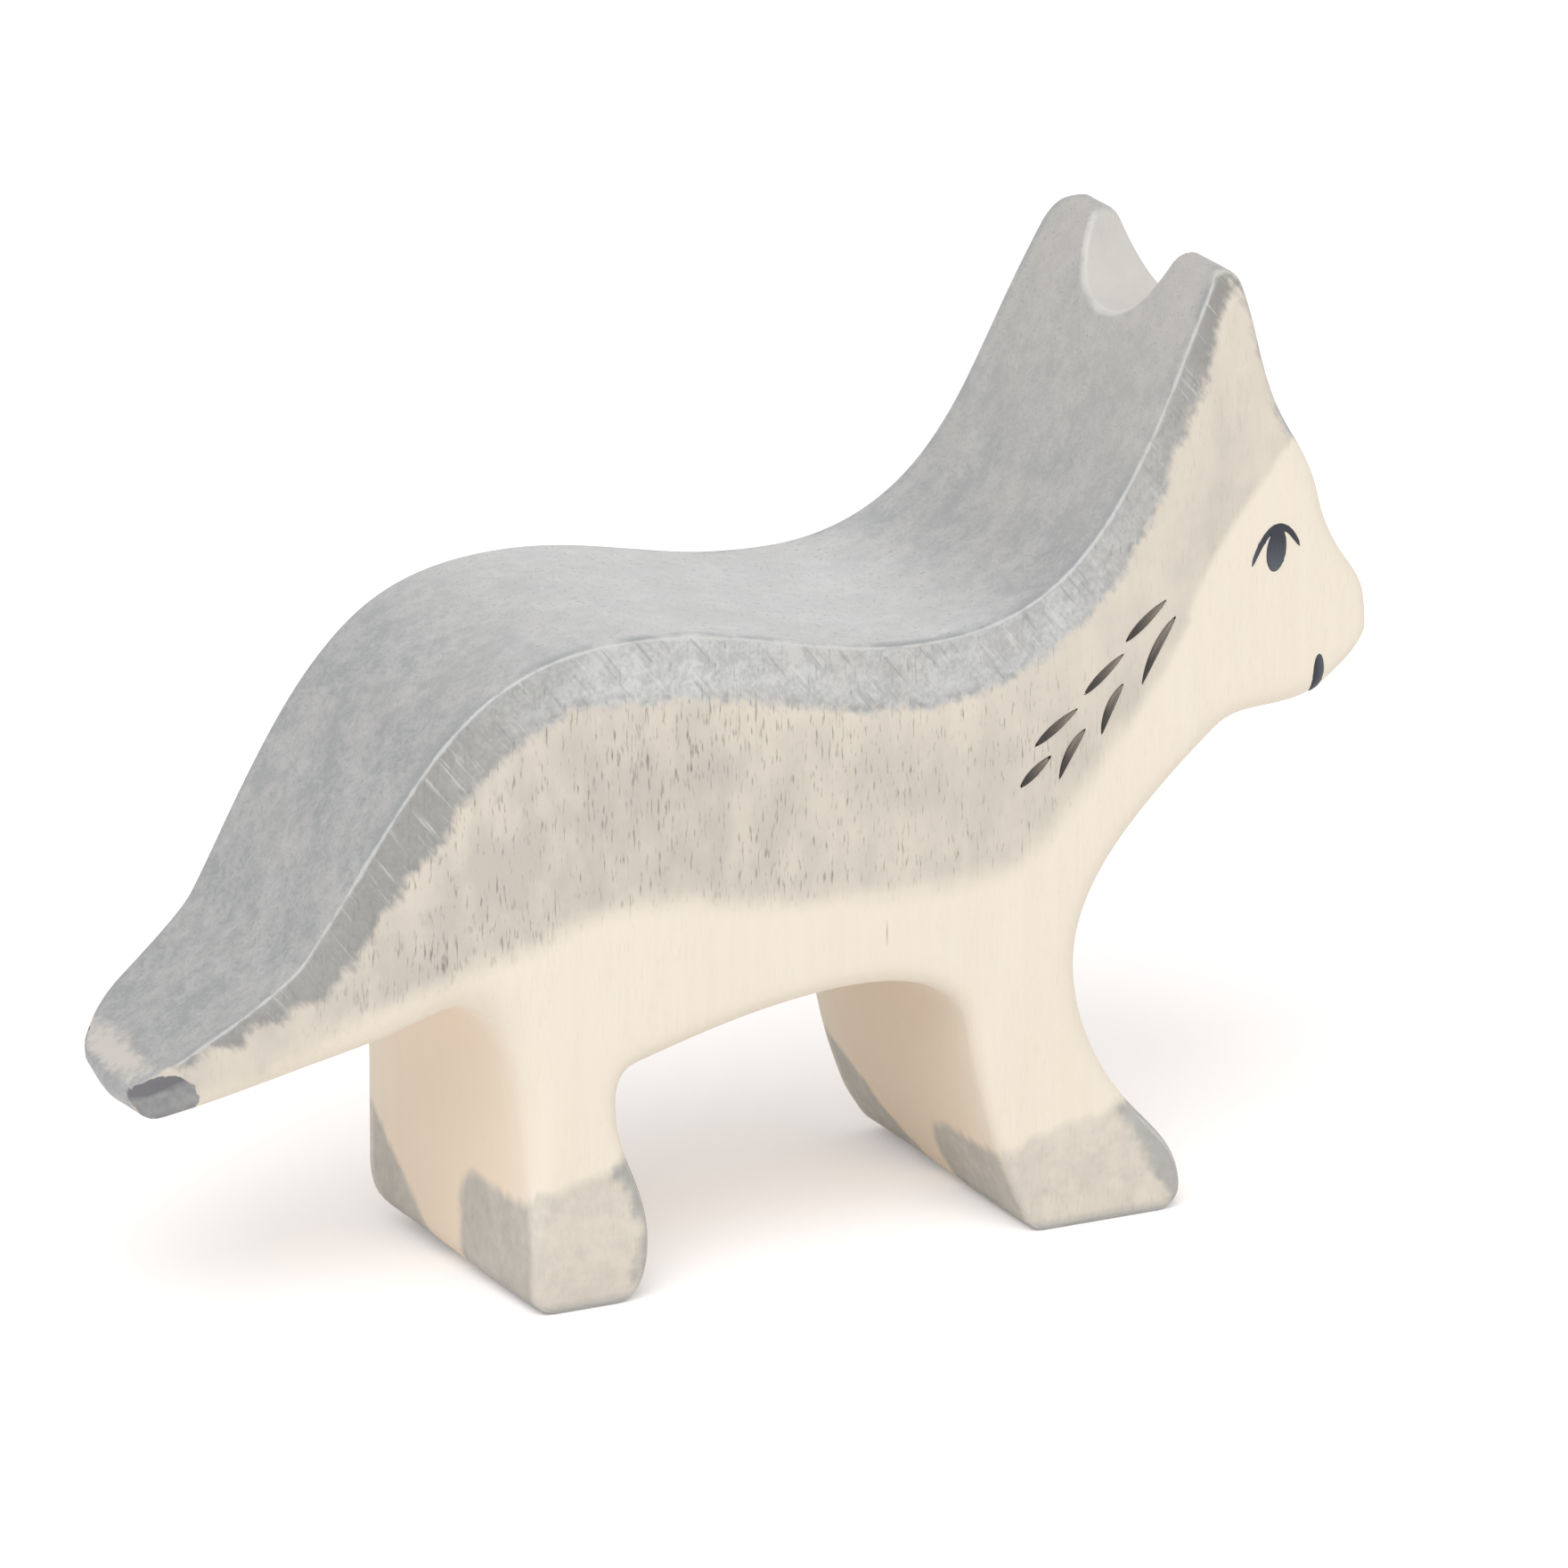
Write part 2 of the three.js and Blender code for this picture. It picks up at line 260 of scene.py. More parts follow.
def side_outline():
    """The outline's points, their outward normals, and the right edge's rounding, the left edge's and the
    coat's depth there."""
    marks = outline_marks()
    points, ways, blends = [], [], []
    for here, there in zip(marks, marks[1:] + marks[:1]):
        chord = np.linalg.norm(there["at"] - here["at"])
        leave = here["at"] + here["way"] * chord * here["share"]
        arrive = there["at"] - there["way"] * chord * here["share"]
        steps = max(FEWEST_STEPS, math.ceil(chord / here["step"]))
        t = np.arange(steps)[:, None] / steps
        s = 1 - t
        points.append(
            s**3 * here["at"] + 3 * s * s * t * leave + 3 * s * t * t * arrive + t**3 * there["at"])
        ways.append(
            s * s * (leave - here["at"]) + 2 * s * t * (arrive - leave) + t * t * (there["at"] - arrive))
        blends.append(s * np.array(here["blend"]) + t * np.array(there["blend"]))
    points, ways, blends = (np.concatenate(parts) for parts in (points, ways, blends))
    gaps = np.linalg.norm(np.roll(points, -1, axis=0) - points, axis=1)
    headings = np.arctan2(ways[:, 1], ways[:, 0])
    turns = np.angle(np.exp(1j * (np.roll(headings, -1) - np.roll(headings, 1))))
    bend = turns / (gaps + np.roll(gaps, 1))
    tightest = ROUND_LIMIT / np.maximum(bend, 1e-6)
    rounds = np.minimum(blends[:, :2], tightest[:, None])
    for _ in range(SMOOTHING_PASSES):
        rounds = np.minimum(rounds, np.minimum(np.roll(rounds, 1, axis=0), np.roll(rounds, -1, axis=0)))
    for _ in range(SMOOTHING_PASSES):
        rounds = (np.roll(rounds, 1, axis=0) + rounds + np.roll(rounds, -1, axis=0)) / 3
    normals = np.stack((np.sin(headings), -np.cos(headings)), axis=1)
    return {
        "points": points,
        "normals": normals,
        "right": rounds[:, 0],
        "left": rounds[:, 1],
        "coat": blends[:, 2],
    }


def on_hind_leg(x):
    """Which places belong to the hind leg and not to the front one."""
    return x < (hind_toe_x + front_heel_x) / 2


def corner_cut(gap, radius):
    """How far a rounded corner draws in at that gap from its end."""
    past = np.clip(radius - gap, 0, radius)
    return radius - np.sqrt(radius**2 - past**2)


def width_share(x, z, right):
    """The share of the plank's thickness that is left at a place on the side outline, on its right or its
    left half. The flanks draw in towards a blunt tail end and a little towards the ear tips, while the hind
    leg keeps its width. Both ends have a tighter corner on the right than on the left, and so has the hind
    foot below."""
    plank = 2 * half_plank
    ahead = x - tail_x
    draw = np.maximum(0, 1 - ahead / TAIL_TAPER_LENGTH) ** TAIL_TAPER_POWER
    beside_leg = smoothstep(ahead, TAIL_KNEE_AHEAD, HIND_HEEL_AHEAD)
    below_rump = 1 - smoothstep(z, HIND_CALF_HEIGHT, RUMP_HEIGHT)
    taper = (plank - TAIL_END_WIDTH) * draw * (1 - beside_leg * below_rump)
    tail_corner = corner_cut(ahead, np.where(right, TAIL_RIGHT_ROUND, TAIL_LEFT_ROUND))
    ear_corner = corner_cut(body_height - z, np.where(right, EAR_RIGHT_ROUND, EAR_LEFT_ROUND))
    foot_corner = corner_cut(z, HIND_SOLE_ROUND) * np.where(right, 0, on_hind_leg(x))
    up_ear = np.maximum(0, z - brow_height) / BROW_BELOW_EAR
    corners = tail_corner + ear_corner + foot_corner
    return (plank - taper - 2 * (corners + EAR_TIP_DRAW * up_ear**2)) / plank


def rim_rows(outline):
    """The rim as rows that run round the outline, from the right flank's edge to the left one's. Each row
    has its inset from the outline, its place across the plank and its distance from the nearest edge."""
    turn = np.linspace(0, math.pi / 2, EDGE_STEPS + 1)
    steepest = math.degrees(math.acos(EAR_GROOVE_RISE / EAR_GROOVE_RADIUS))
    groove = EAR_GROOVE_RADIUS * np.sin(np.radians(np.linspace(-steepest, steepest, GROOVE_STEPS + 1)))
    rows = []
    for angle in turn:
        radius = outline["right"]
        rows.append((radius * (1 - math.sin(angle)), radius * (1 - math.cos(angle)) - half_plank,
                     radius * (math.pi / 4 - angle)))
    start = outline["right"] - half_plank
    for share in GROOVE_SIDES[::-1]:
        across = groove[0] + (start - groove[0]) * share
        rows.append((0 * across, across, start - across - outline["right"] * math.pi / 4))
    for place in groove:
        across = np.full_like(start, place)
        inner = np.minimum(half_plank - outline["right"] + place, half_plank - outline["left"] - place)
        rows.append((0 * across, across, -inner - WORN * math.pi / 4))
    end = half_plank - outline["left"]
    for share in GROOVE_SIDES:
        across = groove[-1] + (end - groove[-1]) * share
        rows.append((0 * across, across, across - end - outline["left"] * math.pi / 4))
    for angle in turn[::-1]:
        radius = outline["left"]
        rows.append((radius * (1 - math.sin(angle)), half_plank - radius * (1 - math.cos(angle)),
                     radius * (math.pi / 4 - angle)))
    return rows


def inside(points, loop):
    """Which points lie inside a closed loop, in X and Z."""
    found = np.zeros(len(points), bool)
    for (ax, az), (bx, bz) in zip(loop, np.roll(loop, -1, axis=0)):
        if az == bz:
            continue
        crosses = (az > points[:, 1]) != (bz > points[:, 1])
        found ^= crosses & (points[:, 0] < ax + (bx - ax) * (points[:, 1] - az) / (bz - az))
    return found


def gaps_to(points, targets):
    """The distance from each point to each target."""
    return np.hypot(points[:, :1] - targets[None, :, 0], points[:, 1:] - targets[None, :, 1])


def net(loop, step, low, high):
    """Points of a triangular net with that spacing inside a loop and between two corners in X and Z."""
    columns = np.arange(low[0], high[0], step)
    rows = np.arange(low[1], high[1], step * math.sqrt(3) / 2)
    x, z = np.meshgrid(columns, rows)
    x[1::2] += step / 2
    points = np.stack((x.ravel(), z.ravel()), axis=1)
    points = points[inside(points, loop)]
    return points[gaps_to(points, loop).min(axis=1) > NET_MARGIN * step]


def fill(loops, extra):
    """Fills loops in X and Z, with extra points inside. Returns the points, the triangles and, for each
    point, the places it came from, counted along the loops and then the extra points."""
    points = np.concatenate((*loops, extra))
    counts = np.cumsum([0] + [len(loop) for loop in loops])
    rings = [list(range(start, end)) for start, end in zip(counts, counts[1:])]
    made = delaunay_2d_cdt([Vector(point) for point in points], [], rings, INSIDE_ONLY, JOIN_WITHIN)
    return np.array([tuple(point) for point in made[0]]), np.array(made[2]), made[3]


# The lower edge of the beige wash on the flanks, from the tail to the belly, up the chest and round the
# face to the brow
WASH_EDGE = np.array((
    (-53, 20), (-44, 23.3), (-36, 27.4), (-29, 29.9), (-22.6, 31.7), (-13, 34), (0, 32.4), (14, 31.5),
    (21.5, 32.3), (26.2, 35.9), (35.4, 46.6), (41.4, 57.5), (49, 66.4)))
# It ends more sharply ahead of the ruff, by this many times.
FACE_EDGE = 3
# The paw wash on the flanks: its height at each heel, and its rise towards the toe per millimetre
HIND_PAW_HEIGHT = 10.3
FRONT_PAW_HEIGHT = 8
PAW_RISE = 0.22
# On the rear of each leg it is two patches: a round block beside the right edge and a wedge up the left one.
HIND_PATCH_HEIGHT = 9.3
FRONT_PATCH_HEIGHT = 7
PATCH_ROUND = 3
PATCH_GAP = 1.6
PATCH_SLOPE = 0.78
# The dark dab on the flank at the tail tip and round its corner, and the worn strip on top of the tail end
DAB_AHEAD = 2.55
DAB_BELOW_TIP = 0.3
DAB_REACH = (2.55, 2.2)
DAB_SLANT = 0.4
DAB_DARKENS = (1.4, 1.9)
WEAR_AHEAD = 1.5
WEAR_ACROSS = 0.5
WEAR_REACH = (1.6, 9.5)
WEAR_ABOVE_TIP = 0.76
WEAR_EDGE = 2
# A hairline crack in the flank: its place along the wolf, its ends in height, where they fade, and its
# half-width
CRACK_X = 9.96
CRACK_LOW = 26.8
CRACK_HIGH = 29.3
CRACK_FADE = 1
CRACK_HALF = 0.12
# Hand sanding leaves the surface this uneven, over about this distance.
SANDING_DEPTH = 0.07
SANDING_REACH = 9.0


def smooth_path(knots):
    """A smooth path through knots, as many points."""
    ends = np.concatenate((2 * knots[:1] - knots[1:2], knots, 2 * knots[-1:] - knots[-2:-1]))
    t = np.arange(PATH_STEPS)[:, None] / PATH_STEPS
    parts = []
    for before, start, end, after in zip(ends, ends[1:], ends[2:], ends[3:]):
        slope = (end - before) / 2
        arrival = (after - start) / 2
        parts.append((2 * t**3 - 3 * t**2 + 1) * start + (t**3 - 2 * t**2 + t) * slope
                     + (3 * t**2 - 2 * t**3) * end + (t**3 - t**2) * arrival)
    return np.concatenate(parts)


def wash_depth(points):
    """How far inside the beige wash each place in X and Z lies. Outside it is below zero."""
    path = smooth_path(WASH_EDGE)
    ways = np.gradient(path, axis=0)
    gaps = gaps_to(points, path)
    nearest = gaps.argmin(axis=1)
    away = points - path[nearest]
    side = ways[nearest, 0] * away[:, 1] - ways[nearest, 1] * away[:, 0]
    sharper = 1 + (FACE_EDGE - 1) * smoothstep(points[:, 0], throat_x - THROAT_SETBACK, throat_x)
    return np.sign(side) * gaps.min(axis=1) * sharper


def paw_depth(x, y, z, edge_gap):
    """How far inside the paw wash each place lies. Outside it is below zero."""
    hind = on_hind_leg(x)
    heel = np.where(hind, hind_heel_x, front_heel_x)
    toe = np.where(hind, hind_toe_x, front_toe_x)
    flank = np.where(hind, HIND_PAW_HEIGHT, FRONT_PAW_HEIGHT) + PAW_RISE * (x - heel) - z
    below_top = np.where(hind, HIND_PATCH_HEIGHT, FRONT_PATCH_HEIGHT) - z
    block = PATCH_ROUND - np.hypot(
        np.maximum(PATCH_ROUND - below_top, 0), np.maximum(PATCH_ROUND + PATCH_GAP + y, 0))
    wedge = PATCH_SLOPE * (y - PATCH_GAP) - z
    on_rear = (edge_gap < 0) & (x < (heel + toe) / 2)
    return np.where(on_rear, np.maximum(block, wedge), flank)


def toe_gap(x, z):
    """How far behind the front edge of its leg each place lies."""
    hind_lean = HIND_ANKLE_INSET / (HIND_ANKLE_HEIGHT - HIND_TOE_HEIGHT)
    hind_front = hind_toe_x - hind_lean * np.maximum(z - HIND_TOE_HEIGHT, 0)
    front_lean = INSTEP_INSET / (INSTEP_HEIGHT - FOOT_ROUND)
    front_front = front_toe_x - front_lean * np.maximum(z - FOOT_ROUND, 0)
    return np.where(on_hind_leg(x), hind_front, front_front) - x


def groove_cut(y, z):
    """The height that is left at places on the rim once the ear groove is cut and its lips are rounded."""
    low = z - 2 * EAR_GROOVE_RADIUS
    high = z
    for _ in range(GROOVE_HALVINGS):
        middle = (low + high) / 2
        from_groove = np.hypot(y, middle - groove_height) - EAR_GROOVE_RADIUS
        corner = np.hypot(np.maximum(LIP_ROUND - from_groove, 0), np.maximum(LIP_ROUND - z + middle, 0))
        low = np.where(corner > LIP_ROUND, low, middle)
        high = np.where(corner > LIP_ROUND, middle, high)
    return low


def body_net(outline):
    """The body's net before it is shaped: its places in X and Z and across the plank, their distance from
    the nearest edge, the depth of the grey coat there, and the faces."""
    count = len(outline["points"])
    tail_end = tail_x + TAIL_SKEW_LENGTH
    ear_start = body_height - 2 * EAR_LEFT_ROUND
    rows = rim_rows(outline)
    flat, across, edge_gap, coat = [], [], [], []
    for inset, place, gap in rows:
        flat.append(outline["points"] - outline["normals"] * inset[:, None])
        across.append(place)
        edge_gap.append(gap)
        coat.append(outline["coat"] - inset + TOP_COAT * smoothstep(-gap, 0, TOP_COAT))
    faces = []
    for row in range(len(rows) - 1):
        for index in range(count):
            after = (index + 1) % count
            near, far = row * count, (row + 1) * count
            faces.append((near + index, far + index, far + after, near + after))
    total = len(rows) * count
    for first, side in ((0, -1), ((len(rows) - 1) * count, 1)):
        loop = flat[0] if side < 0 else flat[len(rows) - 1]
        extra = np.concatenate((
            net(loop, FINE_FLANK_STEP, (tail_x, 0), (tail_end, body_height)),
            net(loop, FINE_FLANK_STEP, (tail_end, ear_start), (nose_x, body_height)),
            net(loop, FLANK_STEP, (tail_end, 0), (nose_x, ear_start))))
        _, triangles, origins = fill([loop], extra)
        places = np.array([min(origin) for origin in origins])
        lookup = np.where(places < count, first + places, total + places - count)
        order = triangles if side < 0 else triangles[:, ::-1]
        faces.extend(tuple(lookup[triangle]) for triangle in order)
        gaps = gaps_to(extra, outline["points"])
        flat.append(extra)
        across.append(np.full(len(extra), side * half_plank))
        edge_gap.append(gaps.min(axis=1))
        coat.append((outline["coat"] - gaps).max(axis=1))
        total += len(extra)
    return (*(np.concatenate(parts) for parts in (flat, across, edge_gap, coat)), faces)


def sand_askew(x, y, z):
    """The X and Z of places once the tail end and the heels are sanded a little askew."""
    tail_end = tail_x + TAIL_SKEW_LENGTH
    askew = smoothstep(y, -TAIL_RIGHT_ROUND, TAIL_LEFT_ROUND) * (1 - smoothstep(x, tail_x, tail_end))
    under = 1 - smoothstep(z, TAIL_TIP_HEIGHT - TAIL_TIP_ROUND, TAIL_TIP_HEIGHT + TAIL_TIP_ROUND)
    x = x + TAIL_SKEW * askew
    z = z + TAIL_LIFT * askew * under
    past_heel = x - np.where(on_hind_leg(x), hind_heel_x, front_heel_x)
    by_heel = (1 - smoothstep(past_heel, 0, HEEL_REACH)) * (1 - smoothstep(z, 0, HEEL_REACH))
    return x, z + HEEL_LIFT * by_heel * smoothstep(y, -half_plank, half_plank)


def body_shape(outline):
    """The wolf's body: places, faces and the named fields that its material reads."""
    flat, across, edge_gap, coat, faces = body_net(outline)
    y = across * width_share(*flat.T, across < 0)
    x, z = sand_askew(flat[:, 0], y, flat[:, 1])
    carved = groove_cut(y, z)
    round_corner = np.minimum(edge_gap, 0) * TAIL_END_WIDTH / (2 * half_plank)
    dab = 1 - np.hypot((x - tail_x + round_corner - DAB_AHEAD) / DAB_REACH[0],
                       (z - TAIL_TIP_HEIGHT + DAB_BELOW_TIP) / DAB_REACH[1])
    above_tip = flat[:, 1] - TAIL_TIP_HEIGHT - WEAR_ABOVE_TIP
    wear = 1 - np.hypot((flat[:, 0] - tail_x - WEAR_AHEAD) / WEAR_REACH[0],
                        (y - WEAR_ACROSS) / WEAR_REACH[1])
    fields = {
        "edge_gap": edge_gap,
        "coat": coat,
        "wash": wash_depth(flat),
        "paw": paw_depth(x, y, z, edge_gap),
        "toe": toe_gap(x, z),
        "dab": dab * DAB_REACH[1],
        "wear": np.minimum(wear * WEAR_REACH[0], above_tip * WEAR_EDGE),
        "groove": z - carved,
    }
    return np.stack((x, y, carved), axis=1), faces, fields


def make_piece(name, places, faces, fields, material):
    """A smooth mesh object from places in millimetres, with its named fields and its material."""
    mesh = bpy.data.meshes.new(name)
    mesh.from_pydata((places * MM).tolist(), [], [tuple(int(i) for i in face) for face in faces])
    for field, values in fields.items():
        layer = mesh.attributes.new(field, "FLOAT", "POINT")
        layer.data.foreach_set("value", np.asarray(values, np.float32))
    mesh.polygons.foreach_set("use_smooth", np.ones(len(mesh.polygons), bool))
    mesh.update()
    piece = bpy.data.objects.new(name, mesh)
    bpy.context.collection.objects.link(piece)
    mesh.materials.append(material)
    return piece


def sand_by_hand(piece):
    """Leaves the slight unevenness of hand sanding on a mesh, but none on its soles."""
    mesh = piece.data
    for vertex, normal in zip(mesh.vertices, [Vector(item.vector) for item in mesh.vertex_normals]):
        place = vertex.co / MM
        amount = SANDING_DEPTH * noise.noise(place / SANDING_REACH)
        vertex.co += normal * amount * MM * min(1, place.z / SANDING_REACH)
    mesh.update()


def linear(code):
    """An sRGB hex colour as linear red, green, blue and alpha."""
    parts = [int(code[start:start + 2], 16) / 255 for start in (1, 3, 5)]
    return (*(part / 12.92 if part <= 0.04045 else ((part + 0.055) / 1.055) ** 2.4 for part in parts), 1)


def repeats(x, y, z):
    """Repeats per metre of a pattern that is so many millimetres long on each axis."""
    return (1 / (x * MM), 1 / (y * MM), 1 / (z * MM))


def add_node(tree, kind, inputs=None, out=0, **settings):
    """Adds a shader node with its settings, gives its inputs a value or a link, and returns an output."""
    made = tree.nodes.new("ShaderNode" + kind)
    for name, value in settings.items():
        setattr(made, name, value)
    for socket, value in (inputs or {}).items():
        if isinstance(value, bpy.types.NodeSocket):
            tree.links.new(value, made.inputs[socket])
        else:
            made.inputs[socket].default_value = value
    return made.outputs[out] if made.outputs else None


# Settings that many nodes share: a mix of colours, a ramp with soft ends, a product, and a product plus a
# third value
COLOURS = {"out": 2, "data_type": "RGBA"}
SOFT_ENDS = {"interpolation_type": "SMOOTHSTEP"}
TIMES = {"operation": "MULTIPLY"}
TIMES_PLUS = {"operation": "MULTIPLY_ADD"}


def new_material(name):
    """An empty node material, and add_node bound to its tree."""
    material = bpy.data.materials.new(name)
    material.use_nodes = True
    material.node_tree.nodes.clear()
    return material, partial(add_node, material.node_tree)


# The brush that laid the grey coat ran down the flank and leaned this far off the grain, in degrees.
BRUSH_LEAN = 38
# Where the washes change along the wolf, from the first X to the second: the beige thins towards the head,
# flecks show in it between ruff and tail, the top coat is painted lighter between rump and neck as painted
# light and sheen on the up-facing saddle, and the coat darkens towards the neck and the tail.
WASH_THINS = (-25, 20)
RUFF_FADE = (30, 22)
TAIL_FADE = (-42, -32)
SADDLE_LIGHT_FROM_RUMP = (-31, -5)
SADDLE_LIGHT_FROM_NECK = (27, 14)
NECK_DARKENS = (-8, 8)
TAIL_DARKENS = (-14, -30)
# Below the first height the paw wash turns grey.
SOLE_GREYS = (1.1, 0.2)


def wood_patterns(add, place):
    """Noise patterns of the wood and of the washes on it, each at its real size in millimetres."""
    leaned = add("Mapping", {"Vector": place, "Rotation": (0, math.radians(BRUSH_LEAN), 0)})
    pattern = {}
    for name, vector, size, detail in (
            ("rings", place, (1.1, 1.1, 22), 3),
            ("fibres", place, (0.3, 0.3, 4), 2),
            ("flecks", place, (0.24, 1, 1.5), 2),
            ("clouds", place, (8, 8, 8), 3),
            ("drift", place, (2.6, 2.6, 9), 2),
            ("patches", place, (4.5, 4.5, 4.5), 4),
            ("mottle", place, (1.2, 1.2, 1.2), 3),
            ("pores", place, (0.4, 0.4, 0.4), 1),
            ("streaks", leaned, (0.4, 8, 6), 2),
            ("lobes", leaned, (2.6, 8, 10), 3)):
        scaled = add("VectorMath", {0: vector, 1: repeats(*size)}, **TIMES)
        pattern[name] = add(
            "TexNoise", {"Vector": scaled, "Scale": 1.0, "Detail": detail, "Roughness": 0.55})
    return pattern


def ray_flecks(add, pattern):
    """Short upright dashes of darker wood, crowded in some places and sparse in others."""
    crowded = add("Math", {0: pattern["clouds"], 1: 0.25, 2: pattern["flecks"]}, **TIMES_PLUS)
    return add("MapRange", {0: crowded, 1: 0.68, 2: 0.9}, **SOFT_ENDS)


def beige_wash(add, field, pattern, flecks):
    """Cream wood, painted warmer on the rim as painted warm shade on faces turned from the light, and the
    beige wash it has drunk: a soft lower edge, thinner towards the head and under the coat, and ray flecks
    that took up more of it between tail and ruff."""
    colour = add("Mix", {0: pattern["rings"], 6: linear("#eee3d0"), 7: linear("#f4ebdb")}, **COLOURS)
    # Painted shade: the rim is tinted warmer, standing in for the warm shade on its faces turned from the
    # light.
    sawn = add("MapRange", {0: field["edge_gap"], 1: -0.5, 2: -5.0, 3: 0.0, 4: 0.6})
    colour = add("Mix", {0: sawn, 6: colour, 7: linear("#f4e0c9")}, **COLOURS)
    ragged = add("Math", {0: pattern["rings"], 1: 1.5, 2: field["wash"]}, **TIMES_PLUS)
    washed = add("MapRange", {0: ragged, 1: -0.9, 2: 2.4}, **SOFT_ENDS)
    strength = add("Math", {0: pattern["drift"], 1: pattern["patches"]}, operation="ADD")
    strength = add("MapRange", {0: strength, 1: 0.8, 2: 1.2, 3: 0.72, 4: 1.18})
    to_head = add("MapRange", {0: field["x"], 1: WASH_THINS[0], 2: WASH_THINS[1], 3: 1.02, 4: 0.7})
    to_coat = add("MapRange", {0: field["coat"], 1: 0.0, 2: -6.0, 3: 0.7, 4: 1.0})
    for thinner in (to_head, to_coat):
        strength = add("Math", {0: strength, 1: thinner}, **TIMES)
    stain = add("Math", {0: washed, 1: strength}, **TIMES)
    colour = add("Mix", {0: stain, 6: colour, 7: linear("#c9c1b7")}, **COLOURS)
    behind_ruff = add("MapRange", {0: field["x"], 1: RUFF_FADE[0], 2: RUFF_FADE[1], 3: 0.1, 4: 0.75})
    off_tail = add("MapRange", {0: field["x"], 1: TAIL_FADE[0], 2: TAIL_FADE[1], 3: 0.15, 4: 1.0})
    fleck_stain = add("Math", {0: flecks, 1: washed}, **TIMES)
    for fewer in (behind_ruff, off_tail):
        fleck_stain = add("Math", {0: fleck_stain, 1: fewer}, **TIMES)
    return add("Mix", {0: fleck_stain, 6: colour, 7: linear("#7d766f")}, **COLOURS)


def paw_wash(add, field, pattern, flecks, colour):
    """The pale beige wash of the paws: soft above, mottled, and greyer at the toes, the soles and behind."""
    soft = add("Math", {0: pattern["drift"], 1: 2.0, 2: field["paw"]}, **TIMES_PLUS)
    soft = add("Math", {0: pattern["mottle"], 1: 1.0, 2: soft}, **TIMES_PLUS)
    pawed = add("MapRange", {0: soft, 1: 0.9, 2: 2.3}, **SOFT_ENDS)
    near_toe = add("Math", {0: pattern["patches"], 1: 6.0, 2: field["toe"]}, **TIMES_PLUS)
    near_toe = add("MapRange", {0: near_toe, 1: 5.2, 2: 3.8}, **SOFT_ENDS)
    near_sole = add("MapRange", {0: field["z"], 1: SOLE_GREYS[0], 2: SOLE_GREYS[1]})
    grey = add("Math", {0: near_toe, 1: near_sole}, operation="MAXIMUM")
    behind = add("MapRange", {0: field["edge_gap"], 1: -0.3, 2: -1.2, 3: 0.0, 4: 0.6})
    grey = add("Math", {0: grey, 1: behind}, operation="MAXIMUM")
    blotch = add("Math", {0: pattern["mottle"], 1: pattern["patches"]}, operation="ADD")
    blotch = add("MapRange", {0: blotch, 1: 0.75, 2: 1.25})
    wash = add("Mix", {0: blotch, 6: linear("#d3cbbf"), 7: linear("#e2dacd")}, **COLOURS)
    dull = add("Mix", {0: blotch, 6: linear("#a8a7a3"), 7: linear("#bab9b4")}, **COLOURS)
    wash = add("Mix", {0: grey, 6: wash, 7: dull}, **COLOURS)
    specks = add("Math", {0: flecks, 1: 0.18}, **TIMES)
    wash = add("Mix", {0: specks, 6: wash, 7: linear("#9d978e")}, **COLOURS)
    colour = add("Mix", {0: pawed, 6: colour, 7: wash}, **COLOURS)
    return colour, pawed


def coat_on_top(add, field, blotch, high_up):
    """The grey coat on the end grain of the back: blotched, painted paler on the saddle for the light and
    sheen that its up-facing top catches, and warmer at the ears."""
    top = add("Mix", {0: blotch, 6: linear("#999b9c"), 7: linear("#b4b3b2")}, **COLOURS)
    # Painted light: the paler grey of the saddle stands in for the light and sheen on the up-facing back.
    lit_saddle = add("Mix", {0: blotch, 6: linear("#c7c8c8"), 7: linear("#d4d4d3")}, **COLOURS)
    from_rump = add("MapRange", {0: field["x"], 1: SADDLE_LIGHT_FROM_RUMP[0], 2: SADDLE_LIGHT_FROM_RUMP[1]}, **SOFT_ENDS)
    from_neck = add("MapRange", {0: field["x"], 1: SADDLE_LIGHT_FROM_NECK[0], 2: SADDLE_LIGHT_FROM_NECK[1]}, **SOFT_ENDS)
    saddle_light = add("Math", {0: from_rump, 1: from_neck}, **TIMES)
    top = add("Mix", {0: saddle_light, 6: top, 7: lit_saddle}, **COLOURS)
    warmer = add("Math", {0: high_up, 1: 0.55}, **TIMES)
    return add("Mix", {0: warmer, 6: top, 7: linear("#c3beb7")}, **COLOURS)


def coat_on_flank(add, field, blotch, to_tail, high_up):
    """The grey coat on the flanks: darker towards the tail, the neck and the ears."""
    to_neck = add("MapRange", {0: field["x"], 1: NECK_DARKENS[0], 2: NECK_DARKENS[1]})
    side = add("Mix", {0: blotch, 6: linear("#bbbcbb"), 7: linear("#d5d6d5")}, **COLOURS)
    for amount, most, shade in (
            (to_tail, 0.7, "#85837e"), (to_neck, 0.13, "#85837e"), (high_up, 0.9, "#8a8782")):
        amount = add("Math", {0: amount, 1: most}, **TIMES)
        side = add("Mix", {0: amount, 6: side, 7: linear(shade)}, **COLOURS)
    return side


